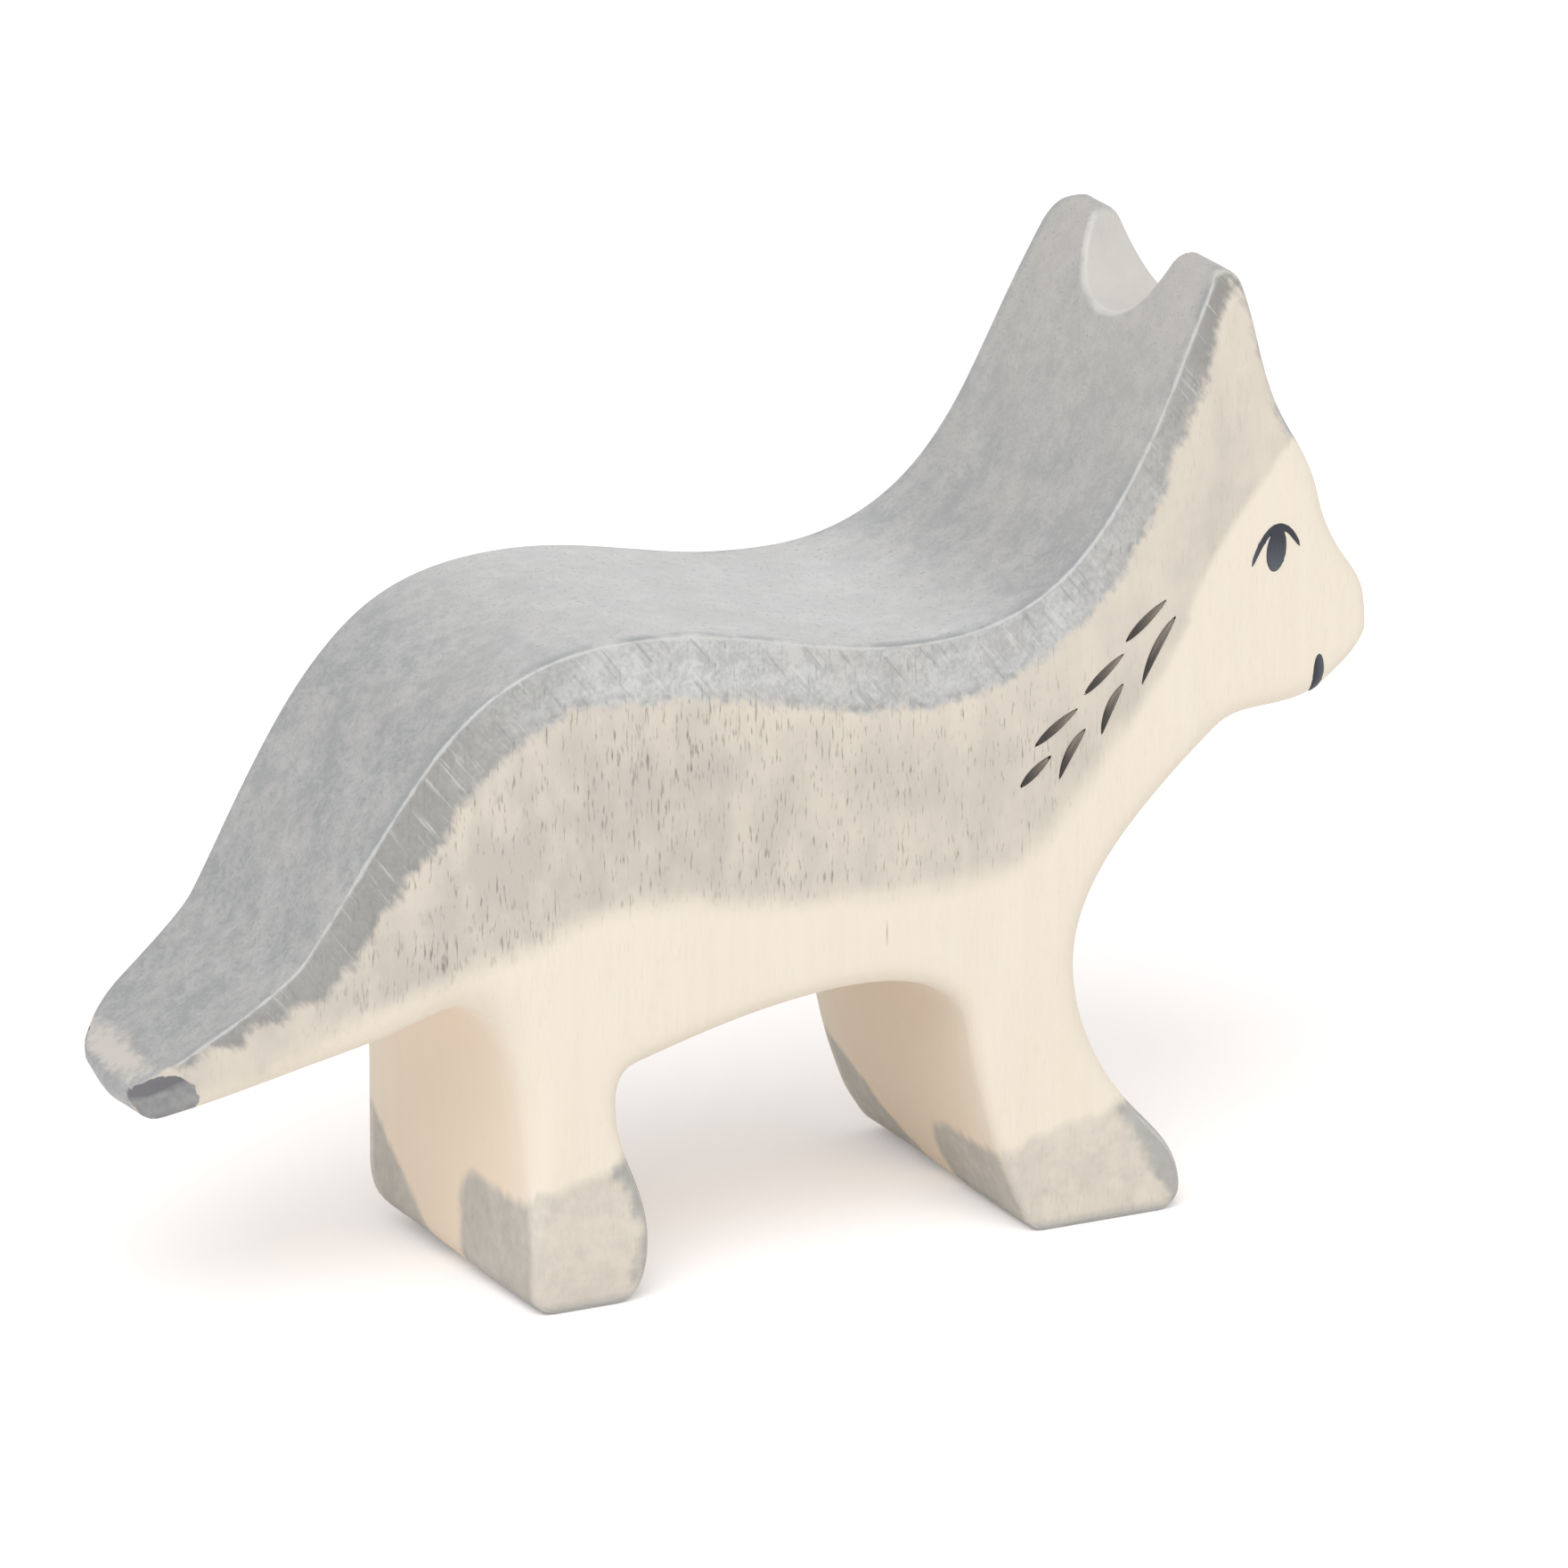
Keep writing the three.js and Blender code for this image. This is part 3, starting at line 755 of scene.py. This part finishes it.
def grey_coat(add, field, pattern, flecks, colour):
    """The opaque grey coat of the back: on the flanks slanting brush lines that end in lobes with pigment
    gathered at their rim, and on top pores, and darker beside the edge."""
    to_tail = add("MapRange", {0: field["x"], 1: TAIL_DARKENS[0], 2: TAIL_DARKENS[1]})
    high_up = add("MapRange", {0: field["z"], 1: SADDLE_HEIGHT, 2: body_height})
    lobes = add("Math", {0: pattern["lobes"], 1: 0.5}, operation="SUBTRACT")
    reach = add("MapRange", {0: to_tail, 3: 2.2, 4: 3.6})
    ends = add("Math", {0: lobes, 1: reach, 2: field["coat"]}, **TIMES_PLUS)
    ends = add("Math", {0: pattern["mottle"], 1: 1.2, 2: ends}, **TIMES_PLUS)
    ends = add("Math", {0: pattern["streaks"], 1: 1.1, 2: ends}, **TIMES_PLUS)
    coated = add("MapRange", {0: ends, 1: 0.6, 2: 1.8}, **SOFT_ENDS)
    on_flank = add("MapRange", {0: field["edge_gap"], 1: -0.1, 2: 0.3})
    on_top = add("MapRange", {0: field["edge_gap"], 1: 0.3, 2: -0.1})
    blotch = add("Math", {0: pattern["patches"], 1: pattern["mottle"]}, operation="ADD")
    blotch = add("Math", {0: blotch, 1: pattern["pores"]}, operation="ADD")
    blotch = add("MapRange", {0: blotch, 1: 1.25, 2: 1.75})
    top = coat_on_top(add, field, blotch, high_up)
    side = coat_on_flank(add, field, blotch, to_tail, high_up)
    coat = add("Mix", {0: on_flank, 6: top, 7: side}, **COLOURS)
    warm = add("MapRange", {0: pattern["clouds"], 1: 0.45, 2: 0.7, 3: 0.0, 4: 0.25})
    coat = add("Mix", {0: warm, 6: coat, 7: linear("#c0bbb4")}, **COLOURS)
    for start, end, most, shade in ((0.6, 0.72, 0.5, "#dcddda"), (0.42, 0.3, 0.5, "#949594")):
        lines = add("MapRange", {0: pattern["streaks"], 1: start, 2: end, 3: 0.0, 4: most})
        lines = add("Math", {0: lines, 1: on_flank}, **TIMES)
        coat = add("Mix", {0: lines, 6: coat, 7: linear(shade)}, **COLOURS)
    through = add("Math", {0: flecks, 1: on_flank}, **TIMES)
    through = add("Math", {0: through, 1: 0.5}, **TIMES)
    coat = add("Mix", {0: through, 6: coat, 7: linear("#8b8c8a")}, **COLOURS)
    beside = add("MapRange", {0: field["edge_gap"], 1: -1.5, 2: -0.4, 3: 0.0, 4: 0.8})
    gathered = add("MapRange", {0: pattern["patches"], 1: 0.6, 2: 0.42})
    beside = add("Math", {0: beside, 1: gathered}, **TIMES)
    pores = add("MapRange", {0: pattern["pores"], 1: 0.58, 2: 0.72, 3: 0.0, 4: 0.5})
    for amount, shade in ((beside, "#999c9d"), (pores, "#909292")):
        amount = add("Math", {0: amount, 1: on_top}, **TIMES)
        coat = add("Mix", {0: amount, 6: coat, 7: linear(shade)}, **COLOURS)
    colour = add("Mix", {0: coated, 6: colour, 7: coat}, **COLOURS)
    rim = add("MapRange", {0: ends, 1: 2.8, 2: 1.8})
    rim = add("Math", {0: rim, 1: coated}, **TIMES)
    specks = add("MapRange", {0: pattern["mottle"], 1: 0.48, 2: 0.66, 3: 0.0, 4: 0.6})
    rim = add("Math", {0: rim, 1: specks}, **TIMES)
    rim = add("Math", {0: rim, 1: on_flank}, **TIMES)
    colour = add("Mix", {0: rim, 6: colour, 7: linear("#908f8b")}, **COLOURS)
    return colour, coated


def worn_edges(add, field, pattern, cover, colour):
    """A soft, broken pale line where sanding has cut through the washes on the flanks' edges."""
    rub = add("Math", {0: field["edge_gap"]}, operation="ABSOLUTE")
    rub = add("Math", {0: pattern["mottle"], 1: 0.5, 2: rub}, **TIMES_PLUS)
    rub = add("MapRange", {0: rub, 1: 0.46, 2: 0.26, 3: 0.0, 4: 0.65}, **SOFT_ENDS)
    rub = add("Math", {0: rub, 1: cover}, **TIMES)
    return add("Mix", {0: rub, 6: colour, 7: linear("#d2d1ce")}, **COLOURS)


def groove_wood(add, field, pattern, colour):
    """The ear groove, cut after the coat was on: paler inside, with a broken lighter lip."""
    pale = add("Mix", {0: pattern["drift"], 6: linear("#c2c1bc"), 7: linear("#d4d0c8")}, **COLOURS)
    within = add("MapRange", {0: field["groove"], 1: 0.12, 2: 0.5})
    colour = add("Mix", {0: within, 6: colour, 7: pale}, **COLOURS)
    lip = add("MapRange", {0: field["groove"], 1: 0.02, 2: 0.12, 3: 0.0, 4: 0.6})
    ending = add("MapRange", {0: field["groove"], 1: 0.9, 2: 0.3})
    broken = add("MapRange", {0: pattern["patches"], 1: 0.4, 2: 0.55, 3: 0.3, 4: 1.0})
    for amount in (ending, broken):
        lip = add("Math", {0: lip, 1: amount}, **TIMES)
    return add("Mix", {0: lip, 6: colour, 7: linear("#d8d6d0")}, **COLOURS)


def tail_end_wash(add, field, pattern, colour):
    """The tail end: a strip worn back to the wood on top, and a dab on its flank, darkest at the corner."""
    bald = add("Math", {0: pattern["mottle"], 1: 2.4, 2: field["wear"]}, **TIMES_PLUS)
    bald = add("MapRange", {0: bald, 1: 1.0, 2: 2.2, 3: 0.0, 4: 0.8}, **SOFT_ENDS)
    colour = add("Mix", {0: bald, 6: colour, 7: linear("#cec7be")}, **COLOURS)
    dabbed = add("Math", {0: pattern["mottle"], 1: 0.9, 2: field["dab"]}, **TIMES_PLUS)
    dabbed = add("MapRange", {0: dabbed, 1: 0.42, 2: 0.55}, **SOFT_ENDS)
    above = add("Math", {0: field["z"], 1: TAIL_TIP_HEIGHT}, operation="SUBTRACT")
    ahead = add("Math", {0: field["x"], 1: tail_x + DAB_AHEAD}, operation="SUBTRACT")
    above = add("Math", {0: ahead, 1: -DAB_SLANT, 2: above}, **TIMES_PLUS)
    above = add("Math", {0: pattern["patches"], 1: 2.0, 2: above}, **TIMES_PLUS)
    above = add("MapRange", {0: above, 1: DAB_DARKENS[0], 2: DAB_DARKENS[1]})
    dab = add("Mix", {0: pattern["mottle"], 6: linear("#6e6e6e"), 7: linear("#b2b2b2")}, **COLOURS)
    dab = add("Mix", {0: above, 6: dab, 7: linear("#727175")}, **COLOURS)
    return add("Mix", {0: dabbed, 6: colour, 7: dab}, **COLOURS)


def hairline_crack(add, field, colour):
    """A short upright check in the grain of the flanks, dark inside."""
    aside = add("Math", {0: field["x"], 1: CRACK_X}, operation="SUBTRACT")
    aside = add("Math", {0: aside}, operation="ABSOLUTE")
    aside = add("MapRange", {0: aside, 1: CRACK_HALF, 2: 0.0, 3: 0.0, 4: 0.6})
    above = add("MapRange", {0: field["z"], 1: CRACK_LOW, 2: CRACK_LOW + CRACK_FADE})
    below = add("MapRange", {0: field["z"], 1: CRACK_HIGH, 2: CRACK_HIGH - CRACK_FADE})
    crack = add("Math", {0: aside, 1: above}, **TIMES)
    crack = add("Math", {0: crack, 1: below}, **TIMES)
    return add("Mix", {0: crack, 6: colour, 7: linear("#8c7f70")}, **COLOURS)


def washed_beech():
    """Sanded beech under thin brushed washes: cream upright grain with short dark ray flecks, a beige wash
    that the wood has drunk, an opaque grey coat over the back, and pale wood worn free at the edges."""
    material, add = new_material("washed_beech")
    place = add("TexCoord", out="Object")
    in_mm = add("VectorMath", {0: place, 1: repeats(1, 1, 1)}, **TIMES)
    field = {
        "x": add("SeparateXYZ", {0: in_mm}, 0),
        "z": add("SeparateXYZ", {0: in_mm}, 2),
    }
    for name in ("edge_gap", "coat", "wash", "paw", "toe", "dab", "wear", "groove"):
        field[name] = add("Attribute", out="Fac", attribute_name=name)
    pattern = wood_patterns(add, place)
    flecks = ray_flecks(add, pattern)
    colour = beige_wash(add, field, pattern, flecks)
    colour, pawed = paw_wash(add, field, pattern, flecks, colour)
    colour, coated = grey_coat(add, field, pattern, flecks, colour)
    cover = add("Math", {0: pawed, 1: coated}, operation="MAXIMUM")
    colour = worn_edges(add, field, pattern, cover, colour)
    colour = groove_wood(add, field, pattern, colour)
    colour = tail_end_wash(add, field, pattern, colour)
    colour = hairline_crack(add, field, colour)
    # Relief in millimetres: raised grain, sunken flecks and the ridges that bristles leave
    relief = add("Math", {0: pattern["fibres"], 1: 0.03}, **TIMES)
    relief = add("Math", {0: flecks, 1: -0.04, 2: relief}, **TIMES_PLUS)
    ridge = add("Math", {0: pattern["streaks"], 1: coated}, **TIMES)
    relief = add("Math", {0: ridge, 1: 0.04, 2: relief}, **TIMES_PLUS)
    normal = add("Bump", {"Height": relief, "Distance": MM, "Strength": 0.6})
    # The smooth coat takes a sheen at a glancing view, the open wood hardly any.
    rough = add("MapRange", {0: pattern["fibres"], 1: 0.2, 2: 0.8, 3: 0.62, 4: 0.78})
    rough = add("Mix", {0: coated, 2: rough, 3: 0.42})
    surface = add("BsdfPrincipled", {"Base Color": colour, "Roughness": rough, "IOR": 1.5, "Normal": normal})
    add("OutputMaterial", {"Surface": surface})
    return material


# The lines that bristles leave in paint: how long and how wide
BRISTLE_LENGTH = 2.5
BRISTLE_WIDTH = 0.16


def brushed_paint(name, dark, pale, fade):
    """Matt acrylic paint from a fine brush: opaque where the brush was full, and thinner, with bristle
    lines, towards the end where it ran dry."""
    material, add = new_material(name)
    along = add("Attribute", out="Fac", attribute_name="along_stroke")
    across = add("Attribute", out="Fac", attribute_name="across_stroke")
    rim = add("Attribute", out="Fac", attribute_name="rim_gap")
    lines = add("CombineXYZ", {0: along, 1: across})
    lines = add("VectorMath", {0: lines, 1: (1 / BRISTLE_LENGTH, 1 / BRISTLE_WIDTH, 1)}, **TIMES)
    bristles = add("TexNoise", {"Vector": lines, "Scale": 1.0, "Detail": 2.0})
    dry = add("Attribute", out="Fac", attribute_name="dryness")
    dry = add("Math", {0: bristles, 1: fade, 2: dry}, **TIMES_PLUS)
    dry = add("MapRange", {0: dry, 1: 0.5 * fade + 0.25, 2: 0.5 * fade + 1.0})
    pooled = add("MapRange", {0: rim, 1: 0.02, 2: 0.14, 3: 0.45, 4: 1.0})
    dry = add("Math", {0: dry, 1: pooled}, **TIMES)
    colour = add("Mix", {0: dry, 6: linear(dark), 7: linear(pale)}, **COLOURS)
    normal = add("Bump", {"Height": bristles, "Distance": 0.04 * MM, "Strength": 0.5})
    rough = add("MapRange", {0: bristles, 1: 0.2, 2: 0.8, 3: 0.45, 4: 0.65})
    surface = add("BsdfPrincipled", {"Base Color": colour, "Roughness": rough, "IOR": 1.5, "Normal": normal})
    add("OutputMaterial", {"Surface": surface})
    return material


# Paint films: how thick the paint lies, how far its shoulder slopes, and how far it has sunk into the wood
FILM_RISE = 0.1
FILM_SHOULDER = 0.25
FILM_SINK = 0.04
FILM_STEP = 0.16
# Points along a stroke or a lash, and round the pupil
STROKE_POINTS = 25
PUPIL_POINTS = 40
PUPIL_WIDTH = 1.85
PUPIL_TALL = 3.8
PUPIL_LEAN = 7
LASH_REAR = 2.3
LASH_FRONT = 2.2
LASH_DROP = 1.2
LASH_FRONT_DROP = 0.05
LASH_RISE = 2.2
LASH_THICKNESS = 0.6
MOUTH_BEHIND_CHIN = 0.3
MOUTH_RISE = 3.35
MOUTH_LENGTH = 3.9
MOUTH_WIDTH = 1.08
MOUTH_LEAN = 88
MOUTH_BLUNT = -0.3
MOUTH_FULLNESS = 3
MOUTH_POINT = 0.5
FUR_WIDTH = 0.8
FUR_FULLNESS = 2
FUR_POINT = 0.75
# Straight strokes and bowed, blunter ones take turns along the ruff.
FUR_BOWS = (0.05, 0.3)
FUR_BLUNTS = (-0.3, 0.3)
FUR_STROKES = 7


def stroke_loop(start, end, width, bow, blunt, fullness, point):
    """A brush stroke's outline: a leaf from start to end, bowed to one side. Blunt widens its far end,
    fullness widens its middle, and point sharpens both ends."""
    along = end - start
    aside = np.array((-along[1], along[0])) / np.linalg.norm(along)
    share = np.linspace(0, 1, STROKE_POINTS)
    half = width / 2 * (1 - np.abs(2 * share - 1) ** fullness) ** point * (1 + blunt * (share - 0.5))
    middle = bow * 4 * share * (1 - share)
    centre = start + share[:, None] * along
    lower = centre + (middle - half)[:, None] * aside
    upper = centre + (middle + half)[:, None] * aside
    return np.concatenate((lower, upper[-2:0:-1]))


def pupil_loop(x, z):
    """The pupil: an upright oval that leans with the face."""
    turn = np.linspace(0, 2 * math.pi, PUPIL_POINTS, endpoint=False)
    lean = math.radians(-PUPIL_LEAN)
    wide, tall = PUPIL_WIDTH / 2 * np.cos(turn), PUPIL_TALL / 2 * np.sin(turn)
    return np.stack((x + wide * math.cos(lean) - tall * math.sin(lean),
                     z + wide * math.sin(lean) + tall * math.cos(lean)), axis=1)


def lash_loop(x, z):
    """The lash: a thin arch over the pupil, pointed at both ends."""
    rear = np.array((x - LASH_REAR, z - LASH_DROP))
    front = np.array((x + LASH_FRONT, z - LASH_FRONT_DROP))
    midway = (rear + front) / 2
    crown = np.array((midway[0], 2 * (z + LASH_RISE - LASH_THICKNESS / 2) - midway[1]))
    t = np.linspace(0, 1, STROKE_POINTS)[:, None]
    arch = (1 - t)**2 * rear + 2 * t * (1 - t) * crown + t**2 * front
    along = np.gradient(arch, axis=0)
    aside = np.stack((-along[:, 1], along[:, 0]), axis=1) / np.linalg.norm(along, axis=1)[:, None]
    half = LASH_THICKNESS / 2 * np.sqrt(1 - (2 * t - 1) ** 4)
    return np.concatenate((arch - half * aside, (arch + half * aside)[-2:0:-1]))


def lay_on_flank(points, lift, side, outline):
    """Places on one flank, lifted off the wood. Past the flank's edge they turn round it onto the rim."""
    gaps = gaps_to(points, outline["points"])
    nearest = gaps.argmin(axis=1)
    normal = outline["normals"][nearest]
    base = outline["points"][nearest]
    radius = outline["right" if side < 0 else "left"][nearest]
    inward = -np.sum((points - base) * normal, axis=1)
    past = radius - inward
    angle = np.clip(past / radius, 0, math.pi / 2)
    down = np.maximum(past - radius * math.pi / 2, 0)
    inset = np.where(past > 0, radius * (1 - np.sin(angle)), inward)
    slid = points + normal * inward[:, None]
    depth = radius * (1 - np.cos(angle)) + down
    flat = slid - normal * (inset - lift * np.sin(angle))[:, None]
    across = side * (half_plank - depth + lift * np.cos(angle))
    return np.stack((flat[:, 0], across, flat[:, 1]), axis=1)


def paint_film(name, node, loops, dry_from, dry_to, side, outline, material):
    """A film of paint inside the loops: round at its shoulders and sunk a little into the wood."""
    extra = np.concatenate([net(loop, FILM_STEP, loop.min(axis=0), loop.max(axis=0)) for loop in loops])
    points, triangles, _ = fill(loops, extra)
    ends = np.sort(np.concatenate([triangles[:, [a, b]] for a, b in ((0, 1), (1, 2), (2, 0))]), axis=1)
    pairs, uses = np.unique(ends, axis=0, return_counts=True)
    rim = np.unique(pairs[uses == 1])
    rim_gap = gaps_to(points, points[rim]).min(axis=1)
    slope = 1 - np.minimum(rim_gap / FILM_SHOULDER, 1)
    rise = FILM_RISE * np.sqrt(1 - slope**2)
    count = len(points)
    bottom = np.arange(count) + count
    bottom[rim] = rim
    top = lay_on_flank(points, rise, side, outline)
    under = lay_on_flank(points, np.full(count, -FILM_SINK), side, outline)
    places = np.concatenate((top, under))
    faces = np.concatenate((triangles, bottom[triangles[:, ::-1]]))
    if side > 0:
        faces = faces[:, ::-1]
    used, faces = np.unique(faces, return_inverse=True)
    reach = dry_to - dry_from
    length = np.linalg.norm(reach)
    offset = points - dry_from
    along = offset @ reach / length
    across = (offset[:, 1] * reach[0] - offset[:, 0] * reach[1]) / length
    fields = {
        "along_stroke": along,
        "across_stroke": across,
        "dryness": along / length,
        "rim_gap": rim_gap,
    }
    fields = {key: np.concatenate((values, values))[used] for key, values in fields.items()}
    piece = make_piece(name, places[used], faces.reshape(-1, 3), fields, material)
    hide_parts(node)
    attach(piece, "root")
    return piece


def flank_paint(side_name, side, outline, slate, umber):
    """One flank's paint: eye, mouth and fur strokes, each where its node lies in the frame."""
    low, high = (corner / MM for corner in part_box(side_name + "_eye_mark"))
    eye_x = low.x + LASH_REAR
    eye_z = low.z + PUPIL_TALL / 2
    loops = [pupil_loop(eye_x, eye_z), lash_loop(eye_x, eye_z)]
    top = np.array((eye_x, high.z))
    foot = np.array((eye_x, low.z))
    eye = paint_film(side_name + "_eye", side_name + "_eye_mark", loops, top, foot, side, outline, slate)
    lean = math.radians(MOUTH_LEAN)
    along = MOUTH_LENGTH / 2 * np.array((math.cos(lean), math.sin(lean)))
    middle = np.array((chin_x - MOUTH_BEHIND_CHIN, chin_height + MOUTH_RISE - MOUTH_LENGTH / 2))
    loop = stroke_loop(
        middle - along, middle + along, MOUTH_WIDTH, 0, MOUTH_BLUNT, MOUTH_FULLNESS, MOUTH_POINT)
    rear = middle - (MOUTH_WIDTH / 2, 0)
    front = middle + (MOUTH_WIDTH / 2, 0)
    mouth = paint_film(
        side_name + "_mouth", side_name + "_mouth_mark", [loop], rear, front, side, outline, slate)
    for index in range(FUR_STROKES):
        node = f"{side_name}_fur_stroke_{index + 1}"
        low, high = (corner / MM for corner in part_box(node))
        start = np.array((low.x, low.z))
        end = np.array((high.x, high.z))
        bow = FUR_BOWS[index % 2]
        blunt = FUR_BLUNTS[index % 2]
        loop = stroke_loop(start, end, FUR_WIDTH, bow, blunt, FUR_FULLNESS, FUR_POINT)
        fur = paint_film(f"{side_name}_fur_{index + 1}", node, [loop], start, end, side, outline, umber)


outline = side_outline()
places, faces, fields = body_shape(outline)
body = make_piece("wolf_body", places, faces, fields, washed_beech())
sand_by_hand(body)
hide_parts("carved_body")
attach(body, "root")
slate = brushed_paint("slate_acrylic", "#33353f", "#565c66", 0.5)
umber = brushed_paint("umber_acrylic", "#38332f", "#8f867b", 0.9)
flank_paint("right", -1, outline, slate, umber)
flank_paint("left", 1, outline, slate, umber)


# Stage: a sheet of white paper, an even white room and one wide soft lamp above the camera's left
PAPER_HALF = 3000
PAPER_LIFT = 0.17
ROOM_LEVEL = 0.75
LAMP_PLACE = (-1000, -1350, 2250)
LAMP_SIZE = 2400
LAMP_POWER = 34
# Camera: where it looks, from which side and height, from how far, and its lens for a 36 mm sensor
LOOK_AT = (8.38, 0, 36.75)
LOOK_AZIMUTH = -27.8023
LOOK_ELEVATION = 18.0405
LOOK_DISTANCE = 2187.4
LENS = 613.6
SENSOR = 36


def white_paper():
    """Matt white paper: it takes the wolf's shadow, and the eye sees it lifted to plain white elsewhere."""
    material, add = new_material("white_paper")
    seen = add("LightPath", out="Is Camera Ray")
    shiny = add("LightPath", out="Is Glossy Ray")
    either = add("Math", {0: seen, 1: shiny}, operation="MAXIMUM")
    through = add("LightPath", out="Is Transmission Ray")
    either = add("Math", {0: either, 1: through}, operation="MAXIMUM")
    lift = add("Math", {0: either, 1: PAPER_LIFT}, **TIMES)
    paper = add("BsdfDiffuse", {"Color": linear("#f8f6f6"), "Roughness": 0.5})
    glow = add("Emission", {"Color": linear("#ffffff"), "Strength": lift})
    surface = add("AddShader", {0: paper, 1: glow})
    add("OutputMaterial", {"Surface": surface})
    return material


corners = PAPER_HALF * np.array(((-1, -1, 0), (1, -1, 0), (1, 1, 0), (-1, 1, 0)), float)
floor = make_piece("paper_floor", corners, [(0, 1, 2, 3)], {}, white_paper())

scene = bpy.context.scene
room = bpy.data.worlds.new("white_room")
room.use_nodes = True
room.node_tree.nodes.clear()
add_to_room = partial(add_node, room.node_tree)
seen = add_to_room("LightPath", out="Is Camera Ray")
level = add_to_room("MapRange", {0: seen, 3: ROOM_LEVEL, 4: 1.0})
glow = add_to_room("Background", {"Color": linear("#ffffff"), "Strength": level})
add_to_room("OutputWorld", {"Surface": glow})
scene.world = room

lamp = bpy.data.lights.new("soft_lamp", "AREA")
lamp.shape = "DISK"
lamp.size = LAMP_SIZE * MM
lamp.energy = LAMP_POWER
lamp_stand = bpy.data.objects.new("soft_lamp", lamp)
lamp_stand.location = Vector(LAMP_PLACE) * MM
lamp_stand.rotation_euler = (Vector(LOOK_AT) - Vector(LAMP_PLACE)).to_track_quat("-Z", "Y").to_euler()
bpy.context.collection.objects.link(lamp_stand)

azimuth = math.radians(LOOK_AZIMUTH)
elevation = math.radians(LOOK_ELEVATION)
back = Vector((math.sin(azimuth) * math.cos(elevation), -math.cos(azimuth) * math.cos(elevation),
               math.sin(elevation)))
camera = bpy.data.cameras.new("camera")
camera.lens = LENS
camera.sensor_width = SENSOR
camera_stand = bpy.data.objects.new("camera", camera)
camera_stand.location = (Vector(LOOK_AT) + back * LOOK_DISTANCE) * MM
camera_stand.rotation_euler = (-back).to_track_quat("-Z", "Y").to_euler()
bpy.context.collection.objects.link(camera_stand)
scene.camera = camera_stand
scene.view_settings.view_transform = "Standard"
